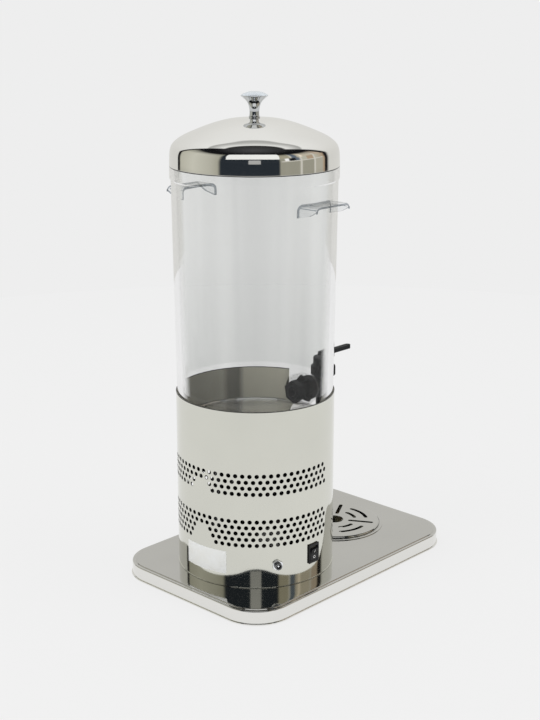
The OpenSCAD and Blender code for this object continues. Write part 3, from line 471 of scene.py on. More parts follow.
def finish(key):
    """The material of one finish, made once from the colours in the panel."""
    if key not in MATERIALS:
        look = bpy.context.scene.dispenser_looks
        steel, black = tuple(look.steel), tuple(look.black)
        tube, top = tuple(look.tube_steel), tuple(look.plate_steel)
        MATERIALS[key] = {
            # The plate's skirt, below its top edge, takes a paler tint than the top: painted light on the
            # upright side
            "plate": lambda: mirror_steel("plate_steel", top, look.shine, 0.03,
                                          (look.skirt_steel_painted_light, PLATE_TOP - 3 * MM, PLATE_TOP - 1 * MM)),
            # The housing carries a painted shade line at its rim, painted reflection bands inside and
            # painted shade low inside
            "housing": lambda: pressed_tube("housing_steel", tube, (0.98, 0.95, 0.8), look.shine,
                                            HOUSING_R - 0.4 * MM, HOUSING_HI.z),
            # The lid's lowest millimetre is painted shade: a dark shadow line under the hem
            "lid": lambda: mirror_steel("lid_steel", steel, look.shine * 0.6, 0.01,
                                        (PAINTED_SHADE_DARK, LID_LO.z + 0.8 * MM, LID_LO.z + 1.1 * MM)),
            "tray": lambda: mirror_steel("tray_steel", top, look.shine * 0.8, 0.03),
            # The grille's foot, below its rounded shoulder, is painted shade: a dark line in the gap round
            # its edge
            "grille": lambda: mirror_steel("grille_steel", top, look.shine * 0.8, 0.03,
                                           ((0.02, 0.02, 0.02), PLATE_TOP + 1.4 * MM, PLATE_TOP + 1.8 * MM)),
            "disc": lambda: mirror_steel("disc_steel", (0.8, 0.8, 0.78), look.shine * 2.5, 0.05, None, 0.7),
            "chrome": lambda: mirror_steel("knob_chrome", (0.93, 0.95, 0.98), 0.02, 0.0),
            "knob": lambda: mirror_steel("knob_steel", (0.66, 0.68, 0.71), 0.02, 0.0),
            "satin": lambda: mirror_steel("knob_satin", (0.68, 0.73, 0.78), 0.3, 0.0, None, 0.6),
            "black": lambda: moulded_plastic("tap_black", black, 0.5, gloss=0.12),
            "switch": lambda: moulded_plastic("switch_black", (0.006, 0.006, 0.007), 0.3, 0.04, 1500, 0.3),
            "wall": lambda: clear_wall("container_wall", tuple(look.clear), tuple(look.clear_low),
                                       foot=0.5),
            "clear": lambda: clear_wall("handle_clear", HANDLE_TINT, HANDLE_TINT,
                                        (0.03, 0.5, 0.7, 0.97), 0.6, (0.7, 0.98)),
            "clear_painted_shade": lambda: clear_wall("handle_painted_shade", PAINTED_EDGE_SHADE, PAINTED_EDGE_SHADE,
                                             (0.08, 0.4, 0.6, 0.97), 0.5, (0.6, 0.95)),
            "washer": lambda: clear_wall("washer_clear", WASHER_TINT, WASHER_TINT,
                                         (0.02, 0.4, 0.6, 0.98), 0.5, (0.75, 0.98)),
            # Darker than plated zinc: painted shade for the parts seen inside the housing, shared by the
            # lever's pin and the knob's screw outside
            "zinc": lambda: plated_metal("zinc_plate_painted_shade", (0.22, 0.225, 0.23), 0.4),
            "spreader": lambda: plated_metal("spreader_metal", (0.75, 0.76, 0.77), 0.3),
            "rubber": lambda: cloudy_rubber("foot_rubber", (0.02, 0.02, 0.02), 0.6),
            "silicone": lambda: cloudy_rubber("seal_silicone", (0.8, 0.8, 0.78), 0.45),
            "mat": lambda: cloudy_rubber("mat_silicone", (0.35, 0.09, 0.04), 0.5),
            "wire": lambda: cloudy_rubber("wire_sleeve", (0.05, 0.03, 0.03), 0.45),
            "ceramic": lambda: cloudy_rubber("terminal_ceramic", (0.75, 0.74, 0.7), 0.4),
            "label": lambda: paper_film("label_film", (0.70, 0.71, 0.70)),
            "fibre": lambda: fibre_board("insulation_fibre", (0.62, 0.58, 0.45)),
            "mark": lambda: paper_film("switch_mark", (0.75, 0.75, 0.74)),
        }[key]()
    return MATERIALS[key]


# Settings

def length_setting(name, text, millimetres):
    """A length property in metres with a default given in millimetres."""
    return bpy.props.FloatProperty(name=name, description=text, default=millimetres * MM,
                                   min=0.0, subtype="DISTANCE", unit="LENGTH", precision=4)


def colour_setting(name, text, value):
    """A colour property."""
    return bpy.props.FloatVectorProperty(name=name, description=text, default=value, size=3,
                                         min=0.0, max=1.0, subtype="COLOR")


class DispenserSizes(bpy.types.PropertyGroup):
    """Lengths of the dispenser's pieces."""
    corner: length_setting("Plate corner", "Corner radius of the plate's lip in plan", 45)
    edge: length_setting("Plate edge", "Radius of the plate's top edge", 3)
    sheet: length_setting("Sheet", "Thickness of the plate's sheet", 1)
    hole: length_setting("Hole", "Diameter of one hole in the housing", 5)
    pitch: length_setting("Pitch", "Spacing of the holes along a row", 7.917)
    row: length_setting("Row spacing", "Height from one row of holes to the next", 6.95)
    wall: length_setting("Container wall", "Wall thickness of the container", 3)
    grip: length_setting("Grip length", "Length of a hand grip", 54)
    slot: length_setting("Slot", "Width of a slot in the grille", 4.6)


class DispenserLooks(bpy.types.PropertyGroup):
    """Colours and shine of the dispenser's finishes."""
    steel: colour_setting("Lid steel", "Colour of the lid's polished steel", (0.88, 0.875, 0.85))
    tube_steel: colour_setting("Housing steel", "Colour of the housing's steel", (0.70, 0.70, 0.635))
    plate_steel: colour_setting("Plate steel", "Colour of the plate's and the tray's top",
                                (0.55, 0.545, 0.52))
    # Paler than the plate's top: painted light on the plate's upright skirt
    skirt_steel_painted_light: colour_setting("Skirt steel", "Colour of the plate's skirt", (0.81, 0.805, 0.775))
    black: colour_setting("Black", "Colour of the tap's plastic", (0.008, 0.009, 0.010))
    clear: colour_setting("Clear", "Tint of the container's upper part", (0.968, 0.971, 0.968))
    clear_low: colour_setting("Clear, low", "Tint of the container's lower part", (0.925, 0.929, 0.925))
    shine: bpy.props.FloatProperty(name="Shine", description="Roughness of the polished steel",
                                   default=0.07, min=0.0, max=1.0)
    ground: colour_setting("Background", "Colour of the floor and the background",
                           (0.855, 0.855, 0.855))


# Base plate

def rectangle_run(half_x, half_y, corner, per_corner=20, per_side=10):
    """Corner centres and outward directions round a rectangle with round corners.
    Along a side the centre slides and the direction stays; at a corner the direction turns."""
    cx, cy = half_x - corner, half_y - corner
    centres, normals = [], []
    stops = [((cx, -cy), (cx, cy), 0), ((cx, cy), (-cx, cy), 90),
             ((-cx, cy), (-cx, -cy), 180), ((-cx, -cy), (cx, -cy), 270)]
    for a, b, angle in stops:
        t = np.linspace(0, 1, per_side, endpoint=False)[:, None]
        centres.append(np.array(a) * (1 - t) + np.array(b) * t)
        normals.append(np.repeat([[math.cos(math.radians(angle)), math.sin(math.radians(angle))]],
                                 per_side, 0))
        turn = np.radians(angle + np.linspace(0, 90, per_corner, endpoint=False))
        centres.append(np.repeat([b], per_corner, 0))
        normals.append(np.c_[np.cos(turn), np.sin(turn)])
    return np.vstack(centres), np.vstack(normals)


class DISPENSER_OT_plate(bpy.types.Operator):
    """Pressed base plate with a round opening for the drip pan"""
    bl_idname = "dispenser.plate"
    bl_label = "Base plate"

    def execute(self, context):
        s = context.scene.dispenser_sizes
        half_x = (PLATE_HI.x - PLATE_LO.x) / 2
        half_y = (PLATE_HI.y - PLATE_LO.y) / 2
        centres, normals = rectangle_run(half_x, half_y, s.corner, 20, 40)
        lip, t, step = 1.3 * MM, s.sheet, 1.1 * MM
        top, low = PLATE_TOP, PLATE_LO.z
        wall = s.corner - lip
        crest = wall - s.edge - 0.9 * MM
        lip_h = 1.6 * MM
        outer = filleted([(crest - 6 * MM, top, 0), (crest, top, 1.6 * MM),
                          (crest + 0.8 * MM, top - step, 0.25 * MM), (wall, top - step - 0.1 * MM, s.edge),
                          (wall, low + lip_h, 0.2 * MM), (s.corner, low + lip_h, 0.9 * MM),
                          (s.corner, low, 0.3 * MM), (wall - t, low, 0.3 * MM),
                          (wall - t, top - t - step, 1.4 * MM), (crest - 6 * MM, top - t, 0)], 8)
        pan_r = 53.8 * MM
        pan_back = TRAY_FLAT - (PAN_R - pan_r)
        hole = np.array([0, TRAY_Y])
        ring = centres[:, None] + normals[:, None] * outer[None, :, :1]
        skin = np.concatenate([ring, np.repeat(outer[None, :, 1:], len(centres), 0)], -1)
        toward = ring[:, 0] - hole
        toward /= np.linalg.norm(toward, axis=1)[:, None]
        mouth = hole + toward * np.minimum(pan_r, pan_back / np.maximum(toward[:, 1:], MM))
        shares = np.linspace(1, 0, 5)[:-1, None, None]

        def flat(z, order):
            xy = mouth[None] * shares + ring[None, :, 0] * (1 - shares)
            grid = np.concatenate([xy, np.full((*xy.shape[:2], 1), z)], -1)
            return (grid if order > 0 else grid[::-1]).transpose(1, 0, 2)
        grid = np.concatenate([flat(top, 1), skin, flat(top - t, -1)], 1)
        place("plate_pressed", patch(grid, wrap_u=True, wrap_v=True), "base", "base_plate",
              finish("plate"), 40)
        return {"FINISHED"}


# Drip tray

class DISPENSER_OT_tray(bpy.types.Operator):
    """Drip pan and its round slotted grille"""
    bl_idname = "dispenser.tray"
    bl_label = "Drip tray"

    def execute(self, context):
        s = context.scene.dispenser_sizes
        z, t = PLATE_TOP, 0.8 * MM
        r, bead, f = PAN_R, 57.5 * MM, 53.3 * MM
        crest, low = z + t + 0.5 * MM, PAN_LO.z
        wall = filleted([(0, low, 0), (f, low, 2 * MM), (f, z, 0.4 * MM), (r, z, 0.2 * MM),
                         (r, z + t, 0.6 * MM), (bead, z + t, 0.1 * MM), (bead, crest, 0.3 * MM),
                         (bead - t, crest, 0.3 * MM), (bead - t, z + t, 0.1 * MM),
                         (f - t, z + t, 0.7 * MM), (f - t, low + t, 1.4 * MM), (0, low + t, 0)], 5)
        place("pan_pressed", moved(cropped(wall), (0, TRAY_Y, 0)), "pan", "drip_pan",
              finish("tray"), 40)
        place("grille_pressed", moved(self.grille(s, z), (0, TRAY_Y, 0)), "grille", "drip_grille",
              finish("grille"), 40)
        return {"FINISHED"}

    @staticmethod
    def grille(s, z):
        """A flat-backed disc whose slots are loops in the plane of (angle, radius) cells.
        A slot lies in its cell like a stadium, and the cell's border is joined to the slot's
        edge by straight quads, above and below. Near the flat back, radii shrink to end on it."""
        top, t = z + 3.6 * MM, 1.0 * MM
        foot = z + 0.8 * MM
        r_edge, e = 56 * MM, 2.4 * MM
        w = s.slot
        r_hole, r_in, r_split, r_keep, r_out = 11.5 * MM, 17.5 * MM, 33.5 * MM, 42.4 * MM, 49.5 * MM
        back_out = 43.2 * MM
        across, along_r = 30, 10
        shells = []

        def limit(a, r, back):
            """Radius r, or where the flat back at y = back is met at angle a."""
            return np.minimum(r, back / np.maximum(np.sin(a), MM))

        def shrunk(a, r):
            """Radii past the outermost slots, squeezed so that the last one ends on the flat."""
            share = np.clip((r - r_keep) / (r_out - r_keep), 0, 1)
            return np.minimum(r, r_keep) + share * (limit(a, r_out, back_out) - r_keep)

        def cell(a0, a1, r0, r1, loop, na, nr):
            """Rings of quads from a cell's border to a loop of as many points."""
            a = np.r_[np.linspace(a0, a1, na, endpoint=False), np.full(nr, a1),
                      np.linspace(a1, a0, na, endpoint=False), np.full(nr, a0)]
            r = np.r_[np.full(na, r0), np.linspace(r0, r1, nr, endpoint=False),
                      np.full(na, r1), np.linspace(r1, r0, nr, endpoint=False)]
            r = shrunk(a, r)
            border = np.c_[r * np.cos(a), r * np.sin(a)]
            for h in (top, top - t):
                both = np.stack([border, loop], 1)
                shells.append(patch(np.concatenate([both, np.full((*both.shape[:2], 1), h)], -1),
                                    wrap_u=True))
            lift = np.array([top, top - t])
            wall = np.repeat(loop[:, None], 2, 1)
            wall = np.concatenate([wall, np.broadcast_to(lift[None, :, None], (len(loop), 2, 1))], -1)
            shells.append(patch(wall, wrap_u=True))

        def stadium(point, length, along, na, nr):
            """Edge of a slot of width w along a path point(s), 0 to length, in the cell's order."""
            if along == "angle":
                side, turn = np.linspace(0, 1, na + 1)[:-1], math.pi * np.arange(nr) / nr
                s_ = np.r_[side * length, length + np.sin(turn) * w / 2,
                           (1 - side) * length, -np.sin(turn) * w / 2]
                d_ = np.r_[np.full(na, -w / 2), -np.cos(turn) * w / 2,
                           np.full(na, w / 2), np.cos(turn) * w / 2]
            else:
                side, turn = np.linspace(0, 1, nr + 1)[:-1], math.pi * np.arange(na) / na
                s_ = np.r_[-np.sin(turn) * w / 2, side * length,
                           length + np.sin(turn) * w / 2, (1 - side) * length]
                d_ = np.r_[-np.cos(turn) * w / 2, np.full(nr, w / 2),
                           np.cos(turn) * w / 2, np.full(nr, -w / 2)]
            return point(s_, d_)

        q = math.radians(90)
        half = math.radians(8)
        turns = []
        for k in range(4):
            mid = math.radians(30) + k * q
            cut = math.radians(75) + k * q

            def radial(s_, d_, mid=mid):
                r = 20 * MM + s_
                return np.c_[r * math.cos(mid) - d_ * math.sin(mid),
                             r * math.sin(mid) + d_ * math.cos(mid)]
            cell(mid - half, mid + half, r_in, r_out,
                 stadium(radial, 27 * MM, "radius", along_r, 2 * along_r), along_r, 2 * along_r)
            for r_arc, span, r0, r1 in ((26.5 * MM, 18, r_in, r_split), (40.5 * MM, 22.5, r_split, r_out)):
                sweep = 2 * math.radians(span)

                def curved(s_, d_, r_arc=r_arc, sweep=sweep, cut=cut):
                    a = cut - sweep / 2 + np.clip(s_ / r_arc, 0, sweep)
                    over = s_ - np.clip(s_, 0, sweep * r_arc)
                    r = r_arc + d_
                    return np.c_[r * np.cos(a) - over * np.sin(a), r * np.sin(a) + over * np.cos(a)]
                cell(mid + half, mid + q - half, r0, r1,
                     stadium(curved, sweep * r_arc, "angle", across, along_r), across, along_r)
            turns.append(np.linspace(mid - half, mid + half, along_r, endpoint=False))
            turns.append(np.linspace(mid + half, mid + q - half, across, endpoint=False))
        a = np.concatenate(turns)[:, None]

        def band(rows):
            """Rings of (radius, height, y of the flat back, or none) joined to each other."""
            rings = []
            for r, h, back in rows:
                rr = r + 0 * a if back is None else limit(a, r, back)
                rings.append(np.concatenate([rr * np.cos(a), rr * np.sin(a), h + 0 * a], 1))
            shells.append(patch(np.stack(rings, 1), wrap_u=True))
        band([(r_in, top, None), (r_hole, top, None), (r_hole, top - t, None), (r_in, top - t, None)])
        shy = PAN_R - TRAY_FLAT
        edge = np.vstack([arc((r_edge - e, top - e), e, 90, 0, 8), [[r_edge, foot], [r_edge - t, foot]],
                          arc((r_edge - e, top - e), e - t, 0, 90, 8)])
        band([(r_out, top, back_out), *[(r, h, r - shy) for r, h in edge], (r_out, top - t, back_out)])
        return joined(*shells)


# Housing

class DISPENSER_OT_housing(bpy.types.Operator):
    """Perforated housing tube with a notch for the tap, and its blank label"""
    bl_idname = "dispenser.housing"
    bl_label = "Housing"

    def execute(self, context):
        s = context.scene.dispenser_sizes
        place("housing_perforated", moved(self.tube(s), (0, AXIS_Y, PLATE_TOP)), "base",
              "housing_shell", finish("housing"), 40, 2e-6)
        self.label()
        return {"FINISHED"}

    @staticmethod
    def tube(s):
        """The tube unrolled to quads in (angle, height): rings round the holes in the
        perforated cells, plain grids elsewhere, a U-shaped patch round the notch, then rolled up
        twice, at the outer and the inner radius, with strips along every edge between them."""
        radius = HOUSING_R
        inner = radius - 0.8 * MM
        height = HOUSING_HI.z - HOUSING_LO.z
        pitch, row = s.pitch / radius, s.row
        # Quads along and up one cell of the perforation
        m, n = 8, 6
        mid = math.radians(92)
        # Each band: the height of its top row, and for each row down the first and the last hole that
        # it has on either side of the middle, counted in pitches; halves mark the shifted rows
        bands = [(132.3 * MM, [(0.5, 19.5), (0, 20), (1.5, 19.5), (2, 20)]),
                 (78.9 * MM, [(0.5, 19.5), (0, 20), (1.5, 19.5), (2, 20), (2.5, 19.5)])]
        quads, loops = [], []

        def grid(us, vs):
            u, v = np.meshgrid(us, vs, indexing="ij")
            p = np.stack([u, v], -1)
            quads.append(np.stack([p[:-1, :-1], p[1:, :-1], p[1:, 1:], p[:-1, 1:]], 2).reshape(-1, 4, 2))

        def hole_cell(c, z):
            us = np.linspace(-0.5, 0.5, m + 1) * pitch
            vs = np.linspace(-0.5, 0.5, n + 1) * row
            border = np.vstack([np.c_[us[:-1], np.full(m, vs[0])], np.c_[np.full(n, us[-1]), vs[:-1]],
                                np.c_[us[:0:-1], np.full(m, vs[-1])], np.c_[np.full(n, us[0]), vs[:0:-1]]])
            a = np.arctan2(border[:, 1], border[:, 0] * radius)
            ring = np.c_[np.cos(a) / radius, np.sin(a)] * s.hole / 2
            border, ring = border + (c, z), ring + (c, z)
            b2, r2 = np.roll(border, -1, 0), np.roll(ring, -1, 0)
            quads.append(np.stack([border, b2, r2, ring], 1))
            loops.append(ring)

        reach = 20.5
        us_band = mid + np.arange(-reach * m, reach * m + 0.5) * pitch / m
        front = np.linspace(us_band[-1], us_band[0] + TAU, 73)
        us_all = np.r_[us_band, front[1:]]
        edges = []
        for top, rows in bands:
            edges.append((top + row / 2, top + row / 2 - len(rows) * row))
            for i, (first, last) in enumerate(rows):
                z = top - i * row
                vs = z + np.linspace(-0.5, 0.5, n + 1) * row
                whole = first == int(first)
                ks = np.arange(-20, 21) if whole else np.arange(-19.5, 20)
                for k in ks:
                    if abs(k) >= first and abs(k) <= last:
                        hole_cell(mid + k * pitch, z)
                    else:
                        grid(mid + (k + np.linspace(-0.5, 0.5, m + 1)) * pitch, vs)
                if not whole:
                    for side in (-1, 1):
                        ends = mid + (side * 20.25 + np.linspace(-0.25, 0.25, m // 2 + 1)) * pitch
                        grid(ends, vs)
                grid(front, vs)
        notch_r, notch_z = 26.5 * MM, 187 * MM
        shoulder = 150 * MM
        plain = [np.linspace(0, edges[1][1], 5), np.linspace(edges[1][0], edges[0][1], 5),
                 np.linspace(edges[0][0], shoulder, 3)]
        for vs in plain:
            grid(us_all, vs)
        centre = math.radians(270)
        keep = np.abs(us_all - centre) > math.radians(24)
        left, right = us_all[(us_all < centre) & keep], us_all[(us_all > centre) & keep]
        inside = us_all[(us_all >= left[-1]) & (us_all <= right[0])]
        vs_top = np.linspace(shoulder, height, 9)
        grid(left, vs_top)
        grid(right, vs_top)
        side = len(vs_top) - 1
        border = np.vstack([np.c_[np.full(side, left[-1]), vs_top[:0:-1]],
                            np.c_[inside, np.full(len(inside), shoulder)],
                            np.c_[np.full(side, right[0]), vs_top[1:]]])
        straight = height - notch_z
        length = 2 * straight + math.pi * notch_r
        along = np.linspace(0, 1, len(border)) * length
        bend = np.clip((along - straight) / notch_r, 0, math.pi)
        x = -notch_r * np.cos(bend)
        z = np.where(along < straight, height - along,
                     np.where(along > length - straight, height - (length - along),
                              notch_z - notch_r * np.sin(bend)))
        lip = np.c_[centre + np.arcsin(x / radius), z]
        layers = np.linspace(0, 1, 5)[None, :, None]
        web = border[:, None] * (1 - layers) + lip[:, None] * layers
        quads.append(np.stack([web[:-1, :-1], web[1:, :-1], web[1:, 1:], web[:-1, 1:]], 2)
                     .reshape(-1, 4, 2))
        flat = np.vstack(quads)

        def rolled(p, r):
            return np.stack([r * np.cos(p[..., 0]), r * np.sin(p[..., 0]), p[..., 1]], -1)

        def loose(p):
            return p.reshape(-1, 3), np.arange(len(p) * 4).reshape(-1, 4)
        shells = [loose(rolled(flat, radius)), loose(rolled(flat[:, ::-1], inner))]

        def strip(path, wrap):
            shells.append(patch(np.stack([rolled(path, radius), rolled(path, inner)], 1), wrap_u=wrap))
        for ring in loops:
            strip(ring, True)
        strip(np.c_[us_all[:-1], np.zeros(len(us_all) - 1)], True)
        shells.append(turned(np.vstack([arc((radius + 0.1 * MM, 0.45 * MM), 0.4 * MM, -90, 90, 8),
                                        [[radius - 0.1 * MM, 0.85 * MM], [radius - 0.1 * MM, 0.05 * MM]]])))
        strip(lip, False)
        strip(np.c_[left, np.full(len(left), height)], False)
        strip(np.c_[right, np.full(len(right), height)], False)
        return joined(*shells)

    @staticmethod
    def label():
        """A thin film bent round the housing: a grid in angle and height, closed at its edges."""
        lo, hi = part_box("rating_label")
        radius = HOUSING_R
        width, mid = 57.5 * MM / radius, math.radians(94.35)
        a = mid + np.linspace(-0.5, 0.5, 33) * width
        r = radius + np.array([0.03, 0.17, 0.17, 0.03]) * MM
        z = np.array([lo.z, lo.z, hi.z, hi.z])
        grid = np.stack([r[None] * np.cos(a)[:, None], AXIS_Y + r[None] * np.sin(a)[:, None],
                         np.broadcast_to(z, (33, 4))], -1)
        ends = [grid[i].mean(0)[None, None].repeat(4, 1) for i in (0, -1)]
        grid = np.vstack([ends[0], grid, ends[1]])
        place("label_blank", patch(grid, wrap_v=True), "base", "rating_label", finish("label"))


# Container

# Heights above the plate's top and radii round the upright axis, and the tap valve's distance from it
CONT_FOOT, CONT_SHOULDER = 163 * MM, 459 * MM
CONT_R, CONT_TOP_R = 87.9 * MM, 91.5 * MM
SHANK_Z = 187 * MM
TAP_REACH = 117 * MM
LEDGE_TOP = 428.5 * MM


def container_radius(z):
    """Outer radius of the container's wall, which widens evenly from its floor to its shoulder."""
    return CONT_R + (CONT_TOP_R - CONT_R) * (z - CONT_FOOT) / (CONT_SHOULDER - CONT_FOOT)


class DISPENSER_OT_container(bpy.types.Operator):
    """Clear container with its collar, rim, tap boss and two hand grips"""
    bl_idname = "dispenser.container"
    bl_label = "Container"

    def execute(self, context):
        s = context.scene.dispenser_sizes
        t = s.wall
        foot, top = CONT_FOOT, CONT_SHOULDER
        collar = top - 12.5 * MM
        out = CONT_TOP_R + 1.2 * MM
        rim = top + 7 * MM
        wall = filleted([(0, foot, 0), (CONT_R, foot, 4 * MM),
                         (container_radius(collar - 1.2 * MM), collar - 1.2 * MM, 2 * MM),
                         (out, collar, 1 * MM), (out, top, 0.4 * MM), (CONT_TOP_R - 0.3 * MM, top, 0.3 * MM),
                         (CONT_TOP_R - 0.3 * MM, rim, 0.6 * MM), (CONT_TOP_R - t, rim, 0.6 * MM),
                         (CONT_R - t, foot + t, 3 * MM), (0, foot + t, 0)], 6)
        place("container_moulded", moved(turned(wall, 256), (0, AXIS_Y, PLATE_TOP)), "vessel",
              "container", finish("wall"), 50)
        self.boss("boss_inside", 19 * MM, 75 * MM, True)
        self.boss("boss_outside", 17 * MM, 91 * MM, False)
        for name, side in (("handle_left", 1), ("handle_right", -1)):
            grip = place(name + "_moulded", moved(self.grip(s, side), (0, AXIS_Y, PLATE_TOP)), "vessel",
                         name, finish("clear"), 50)
            grip.data.materials.append(finish("clear_painted_shade"))
            # Painted shade: end faces and undersides below the ledge take the handles' dark edge tint
            under = PLATE_TOP + LEDGE_TOP - 3.5 * MM
            for face in grip.data.polygons:
                cut = face.normal.z < -0.7 and face.center.z < under
                face.material_index = int(cut or abs(face.normal.x) > 0.8)
        return {"FINISHED"}

    @staticmethod
    def boss(name, radius, face, inside):
        """A round pad between a flat face and the curved wall: a ring of four edges whose back
        lies just off the wall, at the depth that the wall's circle has at each sideways place."""
        a = np.linspace(0, TAU, 96, endpoint=False)
        bore = 8.3 * MM
        step = 0.6 * MM
        if inside:
            wall = container_radius(SHANK_Z) - 3 * MM - 0.08 * MM
            toward = 1
        else:
            wall = container_radius(SHANK_Z) + 0.08 * MM
            toward = -1
        rings = [(bore, None), (bore, 0), (radius - step, 0), (radius, toward * step), (radius, None)]
        columns = []
        for r, d in rings:
            x, z = r * np.cos(a), r * np.sin(a)
            back = np.sqrt(wall ** 2 - x ** 2)
            depth = back if d is None else np.full_like(a, face + d)
            columns.append(np.stack([x, AXIS_Y - depth, PLATE_TOP + SHANK_Z + z], -1))
        place(name, patch(np.stack(columns, 1), wrap_u=True, wrap_v=True), "vessel", None,
              finish("washer"), 40)

    @staticmethod
    def grip(s, side):
        """A ledge with turned-down ends. At each distance from the wall, the outer path runs down
        one end, along the ledge and down the other, and the inner path is the same path one
        thickness in; the ends grow shorter towards the outer edge."""
        t, half, r = 3 * MM, s.grip / 2, 7 * MM
        top = LEDGE_TOP
        inner_x = container_radius(top)
        outer_x = CONT_TOP_R + 22 * MM
        x = np.r_[0, np.linspace(0.04, 0.96, 14), 1] * (outer_x - inner_x) + inner_x
        k = (x - inner_x) / (outer_x - inner_x)
        drop = np.interp(k, [0, 0.62, 0.93, 1], [14, 10.5, 6.2, 4.6]) * MM
        ease = 0.55 * MM * np.clip((k - 0.94) / 0.06, 0, 1) ** 2

        def path(inset_by, drop_i, n=9):
            h, rr = half - inset_by, r - inset_by
            up = top - inset_by
            leg = np.linspace(top - drop_i, up - rr, 4)[:-1]
            left = np.c_[np.full(3, -h), leg]
            turn_l = arc((-h + rr, up - rr), rr, 180, 90, n)
            flat = np.c_[np.linspace(-h + rr, h - rr, 10)[1:-1], np.full(8, up)]
            turn_r = arc((h - rr, up - rr), rr, 90, 0, n)
            right = np.c_[np.full(3, h), leg[::-1]]
            return np.vstack([left, turn_l, flat, turn_r, right])
        loops = []
        for xi, di, ei in zip(x, drop, ease):
            outer, inner = path(ei, di), path(t - ei, di)
            loop = np.vstack([outer, inner[::-1]])
            xs = np.full(len(loop), xi)
            if xi == x[0]:
                z = loop[:, 1]
                xs = container_radius(z) + 0.05 * MM
                xs = np.sqrt(np.maximum(xs ** 2 - loop[:, 0] ** 2, 0))
            loops.append(np.c_[xs, loop])
        loops = np.array(loops)
        start = loops[0]
        grow = (x - x[0])[:, None] / (x[-1] - x[0])
        loops[:, :, 0] = start[None, :, 0] * (1 - grow) + x[-1] * grow
        count = loops.shape[1] // 2
        caps = []
        for i in (0, -1):
            outer, inner = loops[i][:count], loops[i][count:][::-1]
            caps.append(patch(np.stack([outer, inner], 1)))
        v, q = joined(patch(loops, wrap_v=True), *caps)
        return v * np.array([side, 1, 1]), q


# Tap

